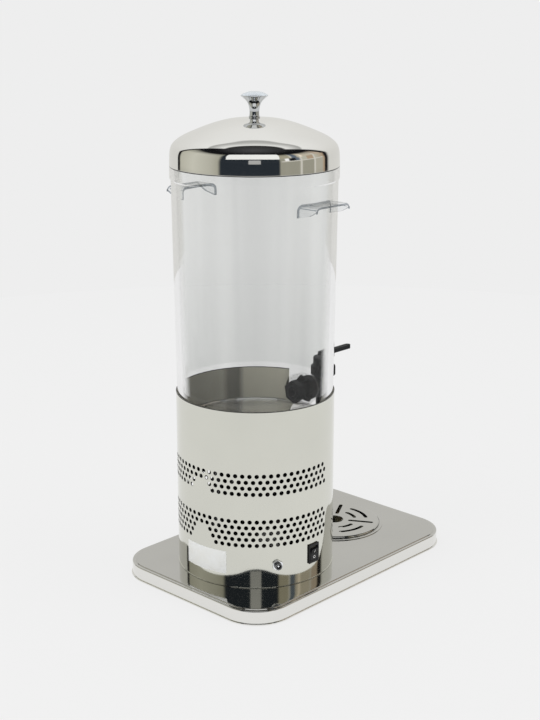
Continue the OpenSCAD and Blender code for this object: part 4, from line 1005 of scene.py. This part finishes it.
class DISPENSER_OT_tap(bpy.types.Operator):
    """Black tap: shank, nut, washers, valve chamber, spout, bonnet and lever"""
    bl_idname = "dispenser.tap"
    bl_label = "Tap"

    def execute(self, context):
        reach = TAP_REACH
        place("tap_moulded", joined(self.chamber(reach), self.shank(reach)), "vessel", "tap_body",
              finish("black"), 40)
        place("bonnet_moulded", self.bonnet(reach), "vessel", "tap_bonnet",
              finish("black"), 40)
        place("washer_clear", self.washer(), "vessel", "tap_washer",
              finish("washer"), 40)
        softened("tap_nut", "vessel", finish("black"), 0.7, 3)
        softened("tap_lever", "lever", finish("black"), 0.9, 3)
        for node, key in (("tap_seal", "rubber"), ("tap_stem", "black"), ("valve_cup", "silicone"),
                          ("lever_pin", "zinc")):
            dress(node, key)
        return {"FINISHED"}

    @staticmethod
    def chamber(reach):
        """Valve chamber, seat skirt and spout: one profile turned about the valve's axis."""
        z = SHANK_Z
        outline = filleted([
            (6 * MM, z - 37 * MM, 0), (8.5 * MM, z - 37 * MM, 0.8 * MM), (8.5 * MM, z - 16 * MM, 2 * MM),
            (11 * MM, z - 11 * MM, 3 * MM), (11 * MM, z + 18 * MM, 0.4 * MM),
            (9 * MM, z + 18 * MM, 0.4 * MM), (9 * MM, z - 8 * MM, 0.3 * MM),
            (6 * MM, z - 8 * MM, 0.3 * MM), (6 * MM, z - 37 * MM, 0)], 6)
        return moved(turned(outline[:-1], 96), (0, AXIS_Y - reach, PLATE_TOP))

    @staticmethod
    def shank(reach):
        """Threaded shank with its flange, turned about the tap's own axis. The thread's crests
        follow a cosine along the shank between the nut and the container."""
        start, flange = 61.4 * MM, 93 * MM
        a = np.arange(start + 1 * MM, flange - 1 * MM, 0.25 * MM)
        thread = np.c_[8 * MM - 0.3 * MM * (0.5 + 0.5 * np.cos(TAU * a / (2 * MM))), a]
        outline = np.vstack([[[5 * MM, start], [7.4 * MM, start]], thread,
                             filleted([(8 * MM, flange, 0), (14 * MM, flange, 0.6 * MM),
                                       (14 * MM, flange + 3 * MM, 1 * MM),
                                       (8.6 * MM, flange + 3.4 * MM, 1.5 * MM),
                                       (8 * MM, flange + 6 * MM, 1 * MM), (8 * MM, reach - 7 * MM, 0)], 5),
                             [[5 * MM, reach - 7 * MM]]])
        return moved(turned(outline, 96), (0, AXIS_Y, PLATE_TOP + SHANK_Z), FACE_MINUS_Y)

    @staticmethod
    def washer():
        """Clear washer with a rounded rim, turned about the tap's axis."""
        outline = filleted([(8.3 * MM, 72 * MM, 0), (20 * MM, 72 * MM, 0.9 * MM),
                            (20 * MM, 74.95 * MM, 0.9 * MM), (8.3 * MM, 74.95 * MM, 0),
                            (8.3 * MM, 72 * MM, 0)], 6)
        return moved(turned(outline[:-1], 96), (0, AXIS_Y, PLATE_TOP + SHANK_Z), FACE_MINUS_Y)

    @staticmethod
    def bonnet(reach):
        """Bonnet turned about the valve's axis, its collar's radius rippled by a cosine of the
        angle for the grip ribs, with two round-topped ears for the lever's pin."""
        z = SHANK_Z + 10.5 * MM
        top = SHANK_Z + 33 * MM
        outline = filleted([
            (11.1 * MM, z, 0), (14 * MM, z, 0.8 * MM), (14 * MM, z + 11.5 * MM, 1.2 * MM),
            (12 * MM, z + 12.3 * MM, 0.8 * MM), (12 * MM, top, 1.2 * MM), (2.3 * MM, top, 0.2 * MM),
            (2.3 * MM, top - 3 * MM, 0.2 * MM), (9 * MM, top - 3 * MM, 0.5 * MM),
            (9 * MM, z + 7.6 * MM, 0.3 * MM), (11.1 * MM, z + 7.6 * MM, 0.3 * MM), (11.1 * MM, z, 0)], 5)
        verts, quads = turned(outline[:-1], 240)
        r = np.hypot(verts[:, 0], verts[:, 1])
        ribbed = np.clip((r - 12.8 * MM) / (1.1 * MM), 0, 1)
        a = np.arctan2(verts[:, 1], verts[:, 0])
        grow = 1 + ribbed * 0.055 * np.maximum(np.cos(20 * a), 0) ** 0.5
        verts = verts * np.c_[grow, grow, np.ones_like(grow)]
        shells = [moved((verts, quads), (0, AXIS_Y - reach, PLATE_TOP))]
        mid = SHANK_Z + 36.6 * MM
        for side in (-1, 1):
            loop = np.vstack([[[-2.6 * MM, top - 1 * MM], [2.6 * MM, top - 1 * MM]],
                              arc((0, mid), 2.6 * MM, 0, 180, 12)])
            xs = side * np.array([5.3, 5.5, 7.4, 7.6]) * MM
            shrink = np.array([0.93, 1, 1, 0.93])
            c = loop.mean(0)
            stack = [np.c_[np.full(len(loop), x), (loop - c) * k + c] for x, k in zip(xs, shrink)]
            stack = np.array(stack)
            shells.append(moved(bar(stack), (0, AXIS_Y - reach - 9 * MM, PLATE_TOP)))
        return joined(*shells)


# Lid

# Shares of the lid's and of the knob's own radius and height along their outlines, from foot to crown
LID_R_SHARES = [1, 0.998, 0.9946, 0.986, 0.9687, 0.931, 0.8716, 0.7896, 0.686, 0.575, 0.442, 0.303,
                0.151, 0]
LID_Z_SHARES = [0, 0.136, 0.272, 0.363, 0.4427, 0.52, 0.597, 0.672, 0.751, 0.829, 0.9076, 0.966,
                0.993, 1]
KNOB_R_SHARES = [0.4, 0.37, 0.358, 0.358, 0.38, 0.42, 0.48, 0.56, 0.67, 0.8, 0.91, 0.98, 1, 0.985, 0.86,
                 0.6, 0.3, 0]
KNOB_Z_SHARES = [0.055, 0.085, 0.16, 0.26, 0.36, 0.455, 0.54, 0.61, 0.675, 0.735, 0.785, 0.815, 0.835,
                 0.856, 0.9, 0.957, 0.99, 1]


class DISPENSER_OT_lid(bpy.types.Operator):
    """Domed steel lid, its gasket and its turned knob"""
    bl_idname = "dispenser.lid"
    bl_label = "Lid"

    def execute(self, context):
        radius, height = (LID_HI.x - LID_LO.x) / 2, LID_HI.z - LID_LO.z
        dome = spline(np.c_[LID_R_SHARES, LID_Z_SHARES] * (radius, height), 10)
        hem = filleted([(radius - 0.6 * MM, 0, 0), (radius, 0, 0.25 * MM), (*dome[3], 0)], 4)
        skin = np.vstack([hem[:-1], dome[3:]])
        under = inset(dome, 0.6 * MM)[3:-1][::-1]
        under = under[under[:, 0] > 0.5 * MM]
        loop = np.vstack([skin, [[0, height - 0.6 * MM]], under])
        place("lid_dome", moved(turned(loop, 256), (0, AXIS_Y, LID_LO.z)), "lid", "lid_shell",
              finish("lid"), 60)
        self.knob()
        dress("lid_gasket", "silicone")
        dress("knob_screw", "zinc")
        return {"FINISHED"}

    @staticmethod
    def knob():
        """Turned knob: a small foot, a narrow neck and a flared head with a shallow crown."""
        lo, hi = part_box("lid_knob")
        r, h = (hi.x - lo.x) / 2, hi.z - lo.z
        neck = spline(np.c_[KNOB_R_SHARES, KNOB_Z_SHARES] * (r, h), 8)
        foot = filleted([(2.6 * MM, 0, 0), (6.2 * MM, 0, 0.2 * MM), (6.2 * MM, 1.1 * MM, 0.4 * MM),
                         tuple(neck[0]) + (0,)], 4)
        rim = int(np.argmax(neck[:, 0])) + 4
        loop = np.vstack([foot, neck[1:rim], [[0, neck[rim - 1, 1]], [0, 12 * MM], [2.6 * MM, 12 * MM]]])
        cap = np.vstack([[[0, neck[rim - 1, 1] + 0.01 * MM]], neck[rim - 1:]])
        cap[1, 1] += 0.01 * MM
        place("knob_turned", moved(turned(loop, 128), (0, AXIS_Y, lo.z)), "lid", "lid_knob",
              finish("knob"), 35)
        place("knob_cap", moved(turned(cap, 128), (0, AXIS_Y, lo.z)), "lid", None,
              finish("satin"), 35)


# Small fittings

def dress(node, key):
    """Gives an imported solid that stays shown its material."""
    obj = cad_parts[node]
    obj.data.materials.clear()
    obj.data.materials.append(finish(key))


class DISPENSER_OT_fittings(bpy.types.Operator):
    """Rocker switch with its two marks, power inlet, feet and everything inside the housing"""
    bl_idname = "dispenser.fittings"
    bl_label = "Switch, inlet and inside"

    def execute(self, context):
        softened("switch_body", "base", finish("switch"), 0.5, 3)
        softened("switch_rocker", "rocker", finish("switch"), 0.4, 3)
        softened("inlet_nut", "base", finish("chrome"), 0.25, 2)
        self.marks()
        for node, key in (("inlet_barrel", "zinc"), ("inlet_insulator", "switch"),
                          ("inlet_pin", "chrome"), ("rubber_feet", "rubber"), ("floor_disc", "zinc"),
                          ("floor_screws", "zinc"), ("floor_nuts", "zinc"), ("posts", "zinc"),
                          ("post_screws", "zinc"), ("heater_tray", "zinc"), ("heated_disc", "disc"),
                          ("insulation_disc", "fibre"), ("heater_mat", "mat"),
                          ("spreader_disc", "spreader"), ("thermostat", "switch"),
                          ("thermal_fuse", "zinc"), ("terminal_block", "ceramic"),
                          ("supply_wires", "wire"), ("heater_wires", "wire")):
            dress(node, key)
        return {"FINISHED"}

    @staticmethod
    def marks():
        """The two marks of the switch, a bar and a ring, raised a little off the middles of the
        rocker's upper and lower face."""
        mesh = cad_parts["switch_rocker"].data
        lo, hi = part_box("switch_rocker")
        shells = []
        for side in (1, -1):
            faces = [f for f in mesh.polygons if f.normal.x < -0.8
                     and side * (f.center.z - (lo.z + hi.z) / 2) > 0]
            area = sum(f.area for f in faces)
            centre = sum((f.center * f.area for f in faces), Vector()) / area
            out = sum((f.normal * f.area for f in faces), Vector()).normalized()
            turn = Matrix((Vector((0, 1, 0)), out.cross(Vector((0, 1, 0))), out)).transposed()
            lift = 0.05 * MM
            if side > 0:
                x, y = 0.3 * MM, 1.9 * MM
                loop = np.array([[-x, -y], [x, -y], [x, y], [-x, y]])
                shell = bar([np.c_[loop, np.full(4, h)] for h in (0, lift)])
            else:
                ring = np.array([(1.2, 0), (1.7, 0), (1.7, 0.05), (1.2, 0.05)]) * MM
                shell = turned(ring, 48)
            shells.append(moved(shell, centre, turn))
        place("switch_marks", joined(*shells), "rocker", None, finish("mark"))


# Stage

# The camera's distance and height from the foot of the axis in metres, its angles in radians and
# its lens in millimetres
CAMERA_FAR = 1.46906
CAMERA_UP = 0.65515
CAMERA_PITCH = 0.2759
CAMERA_YAW = 0.0114
CAMERA_LENS = 67.5


class DISPENSER_OT_stage(bpy.types.Operator):
    """Pale floor, room, soft lamps and the camera at the photograph's angle"""
    bl_idname = "dispenser.stage"
    bl_label = "Stage"

    def execute(self, context):
        scene = context.scene
        look = scene.dispenser_looks
        right, away = VIEW_RIGHT, VIEW_AWAY
        self.camera(scene, right, away)
        self.floor(look)
        self.world(scene, look, right, -away)
        self.cards(right, away)
        self.lamps(right, away)
        scene.view_settings.view_transform = "Standard"
        return {"FINISHED"}

    @staticmethod
    def camera(scene, right, away):
        data = bpy.data.cameras.new("camera")
        data.lens, data.sensor_width = CAMERA_LENS, 36
        cam = linked("camera", data)
        scene.camera = cam
        level = right * math.sin(CAMERA_YAW) + away * math.cos(CAMERA_YAW)
        ahead = level * math.cos(CAMERA_PITCH) - Vector((0, 0, math.sin(CAMERA_PITCH)))
        up = level * math.sin(CAMERA_PITCH) + Vector((0, 0, math.cos(CAMERA_PITCH)))
        side = ahead.cross(up)
        turn = Matrix((side, up, -ahead)).transposed().to_4x4()
        spot = Vector((0, AXIS_Y, PLATE_TOP + CAMERA_UP)) - away * CAMERA_FAR
        cam.matrix_world = Matrix.Translation(spot) @ turn

    @staticmethod
    def floor(look):
        """A disc at the foot of the feet. What the camera, metal and plastic see of it is mostly
        its plain colour, with the shadow of the object kept in the rest."""
        r = np.array([0, 0.3, 0.6, 1.0, 1.5])
        a = np.linspace(0, TAU, 96, endpoint=False)[:, None]
        grid = np.stack([r * np.cos(a), r * np.sin(a), 0 * r * a], -1)
        v, q = patch(grid, wrap_u=True)
        mesh = bpy.data.meshes.new("floor")
        mesh.from_pydata(v.tolist(), [], q.tolist())
        obj = linked("floor", mesh)
        n = Nodes("floor_paper")
        path = n.add("LightPath")
        seen = n.add("Math", {0: path.outputs["Is Camera Ray"], 1: path.outputs["Is Glossy Ray"]},
                     operation="MAXIMUM").outputs[0]
        seen = n.add("Math", {0: seen, 1: path.outputs["Is Transmission Ray"]},
                     operation="MAXIMUM").outputs[0]
        share = n.add("Math", {0: seen, 1: 0.9}, operation="MULTIPLY").outputs[0]
        paper = n.add("BsdfDiffuse", {"Color": (*look.ground, 1)})
        plain = n.add("Emission", {"Color": (*look.ground, 1), "Strength": 1.0})
        mesh.materials.append(n.finish(n.add("MixShader", {
            0: share, 1: paper.outputs[0], 2: plain.outputs[0]})))

    @staticmethod
    def world(scene, look, right, back):
        """Pale all round for the camera and for light. Polished metal sees a room: dark overhead,
        pale behind the object, and a dark studio with beige panels on the camera's side."""
        world = bpy.data.worlds.new("studio")
        scene.world = world
        world.use_nodes = True
        t = world.node_tree
        t.nodes.clear()

        def add(kind, inputs=None, **settings):
            return add_node(t, kind, inputs, **settings)

        def mix(factor, first, second):
            return mix_colours(t, factor, first, second)

        def maths(op, a, b=0.0):
            return add("Math", {0: a, 1: b}, operation=op).outputs[0]

        def ramp(value, span, runs):
            """Colours along a value that covers span degrees, as runs of (from, to, colour) or
            single marks of (at, colour) in degrees."""
            node = add("ValToRGB", {"Fac": value})
            marks = node.color_ramp.elements
            while len(marks) > 1:
                marks.remove(marks[0])
            stops = [(at / span + 0.5, run[-1]) for run in runs for at in run[:-1]]
            marks[0].position, marks[0].color = stops[0][0], (*stops[0][1], 1)
            for at, colour in stops[1:]:
                marks.new(at).color = (*colour, 1)
            return node.outputs["Color"]

        aim = add("TexCoord").outputs["Generated"]
        east = add("VectorMath", {0: aim, 1: tuple(right)}, operation="DOT_PRODUCT").outputs["Value"]
        near = add("VectorMath", {0: aim, 1: tuple(back)}, operation="DOT_PRODUCT").outputs["Value"]
        rise = add("SeparateXYZ", {0: aim}).outputs["Z"]
        bearing = maths("DIVIDE", maths("ARCTAN2", east, near), TAU)
        bearing = maths("ADD", bearing, 0.5)
        climb = maths("ADD", maths("DIVIDE", maths("ARCSINE", rise), math.pi), 0.5)
        all_round, upright = 360, 180
        grey = tuple(look.ground)
        white, none, black, dark = (1, 1, 1), (0, 0, 0), (0.008, 0.008, 0.009), (0.022, 0.028, 0.036)
        beige, sand, brown = (0.52, 0.51, 0.43), (0.34, 0.33, 0.27), (0.45, 0.34, 0.24)
        mullion, slate = (0.66, 0.64, 0.58), (0.13, 0.16, 0.2)
        cream, tan = (0.9, 0.8, 0.66), (0.55, 0.5, 0.4)
        pale, dusk = (0.74, 0.735, 0.71), (0.07, 0.07, 0.075)
        left = [(-180, -119, black), (-117, beige), (-90, (0.62, 0.61, 0.53)), (-60, (0.5, 0.49, 0.42)),
                (-50, (0.42, 0.41, 0.34)), (-46, 33, dark)]
        low = ramp(bearing, all_round, [
            *left, (35, 63, sand), (64, 66, mullion), (67, 86, sand), (87, 89, mullion),
            (90, 103, (0.45, 0.43, 0.36)), (105, 107, brown), (108.5, 115, black), (119, 180, beige)])
        middle = ramp(bearing, all_round, [
            *left, (35, 41, sand), (42, 47, white), (48, 57, black), (58, 63, slate), (64, 66, mullion),
            (67, 75, beige), (76, 86, brown), (87, 89, mullion), (90, beige), (105, brown),
            (108.5, 115, black), (119, 180, beige)])
        high = ramp(bearing, all_round, [
            *left, (35, 49, (0.4, 0.37, 0.28)), (50, 51.5, mullion), (52.5, 60, slate), (61, 64.5, tan),
            (65.5, 68.5, cream), (70, 87, tan), (88, 89.5, mullion), (91, 103, (0.52, 0.43, 0.34)),
            (105, 113, black), (117, 180, beige)])
        room = mix(ramp(climb, upright, [(7, black), (7.5, white)]), low, middle)
        room = mix(ramp(climb, upright, [(18, black), (20, white)]), room, high)
        bar_height = ramp(climb, upright, [(4.5, black), (5, 7, white), (7.5, black)])
        bar_reach = ramp(bearing, all_round, [(36, black), (37, 103, white), (104, black)])
        room = mix(maths("MULTIPLY", bar_height, bar_reach), room, mullion)
        wall = ramp(climb, upright, [(-9, none), (-6, 28, white), (40, (0.6, 0.6, 0.6)), (48, none)])
        near_floor = ramp(climb, upright, [(-9, pale), (-6, 60, black), (90, dusk)])
        walls = mix(wall, near_floor, room)
        far = ramp(climb, upright, [
            (-90, pale), (0, (0.72, 0.715, 0.69)), (14, (0.75, 0.745, 0.72)), (30, (0.8, 0.795, 0.775)),
            (53.5, (0.88, 0.88, 0.87)), (55, (0.42, 0.42, 0.41)), (57, (0.46, 0.46, 0.45)),
            (61, (0.65, 0.65, 0.64)), (65, 66.5, (0.85, 0.85, 0.84)), (68.5, (0.03, 0.03, 0.03)),
            (90, dusk)])
        behind = ramp(bearing, all_round, [(-180, -124.5, white), (-124, 113, none), (119, white)])
        lit = mix(behind, walls, far)
        path = add("LightPath").outputs
        plain = maths("MAXIMUM", path["Is Camera Ray"], path["Is Transmission Ray"])
        colour = mix(path["Is Glossy Ray"], (0.95, 0.95, 0.95), lit)
        colour = mix(plain, colour, grey)
        out = add("OutputWorld")
        t.links.new(add("Background", {"Color": colour, "Strength": 1.0}).outputs[0], out.inputs[0])

    @staticmethod
    def cards(right, away):
        """What stands round the object and shows only in its polish: a wide white softbox hung
        high and a grey panel at the camera. A corner is given by its way to the right, its way
        towards the camera and its height."""
        for name, corners, level in (
                ("softbox", [(-0.78, 1, 0.82), (0.64, 1, 0.82), (0.76, 1, 1.91), (-0.9, 1, 1.91)], 0.97),
                ("camera_panel", [(-0.17, 1.25, 0.49), (0.17, 1.25, 0.49), (0.17, 1.25, 0.8),
                                  (-0.17, 1.25, 0.8)], 0.45)):
            middle = Vector((0, AXIS_Y, PLATE_TOP))
            mesh = bpy.data.meshes.new(name)
            mesh.from_pydata([middle + right * x - away * y + Vector((0, 0, z)) for x, y, z in corners],
                             [], [(0, 1, 2, 3)])
            obj = linked(name, mesh)
            n = Nodes(name + "_light")
            mesh.materials.append(n.finish(n.add("Emission", {
                "Color": (level, level, 0.99 * level, 1), "Strength": 1.0})))
            obj.visible_camera = obj.visible_diffuse = obj.visible_shadow = False
            obj.visible_transmission = obj.visible_volume_scatter = False

    @staticmethod
    def lamps(right, away):
        """Two soft lamps above, left and right of the camera."""
        for name, side, back, up, size, power in (("key", -1.2, -0.9, 1.9, 1.2, 16),
                                                  ("fill", 1.4, -0.4, 1.5, 1.4, 9)):
            data = bpy.data.lights.new(name, "AREA")
            data.size, data.energy = size, power
            lamp = linked(name, data)
            lamp.location = right * side + away * back + Vector((0, 0, up))
            aim = Vector((0, AXIS_Y, 0.25)) - lamp.location
            lamp.rotation_mode = "QUATERNION"
            lamp.rotation_quaternion = aim.to_track_quat("-Z", "Y")
            lamp.visible_glossy = False


class DISPENSER_PT_panel(bpy.types.Panel):
    """Lists the dispenser's pieces and settings"""
    bl_label = "Drink dispenser"
    bl_idname = "DISPENSER_PT_panel"
    bl_space_type = "VIEW_3D"
    bl_region_type = "UI"
    bl_category = "Dispenser"

    def draw(self, context):
        for operator in OPERATORS:
            self.layout.operator(operator.bl_idname)
        for group in (context.scene.dispenser_sizes, context.scene.dispenser_looks):
            for key in group.__annotations__:
                self.layout.prop(group, key)


OPERATORS = (DISPENSER_OT_stage, DISPENSER_OT_plate, DISPENSER_OT_tray, DISPENSER_OT_housing,
             DISPENSER_OT_container, DISPENSER_OT_tap, DISPENSER_OT_lid, DISPENSER_OT_fittings)
CLASSES = (DispenserSizes, DispenserLooks, *OPERATORS, DISPENSER_PT_panel)


def register():
    """Registers the classes and the two groups of settings."""
    for cls in CLASSES:
        bpy.utils.register_class(cls)
    bpy.types.Scene.dispenser_sizes = bpy.props.PointerProperty(type=DispenserSizes)
    bpy.types.Scene.dispenser_looks = bpy.props.PointerProperty(type=DispenserLooks)


def unregister():
    """Takes the settings and the classes away again."""
    del bpy.types.Scene.dispenser_looks
    del bpy.types.Scene.dispenser_sizes
    for cls in reversed(CLASSES):
        bpy.utils.unregister_class(cls)


def main():
    """Builds the stage and every piece."""
    register()
    for operator in OPERATORS:
        group, name = operator.bl_idname.split(".")
        getattr(getattr(bpy.ops, group), name)()


if __name__ == "__main__":
    main()
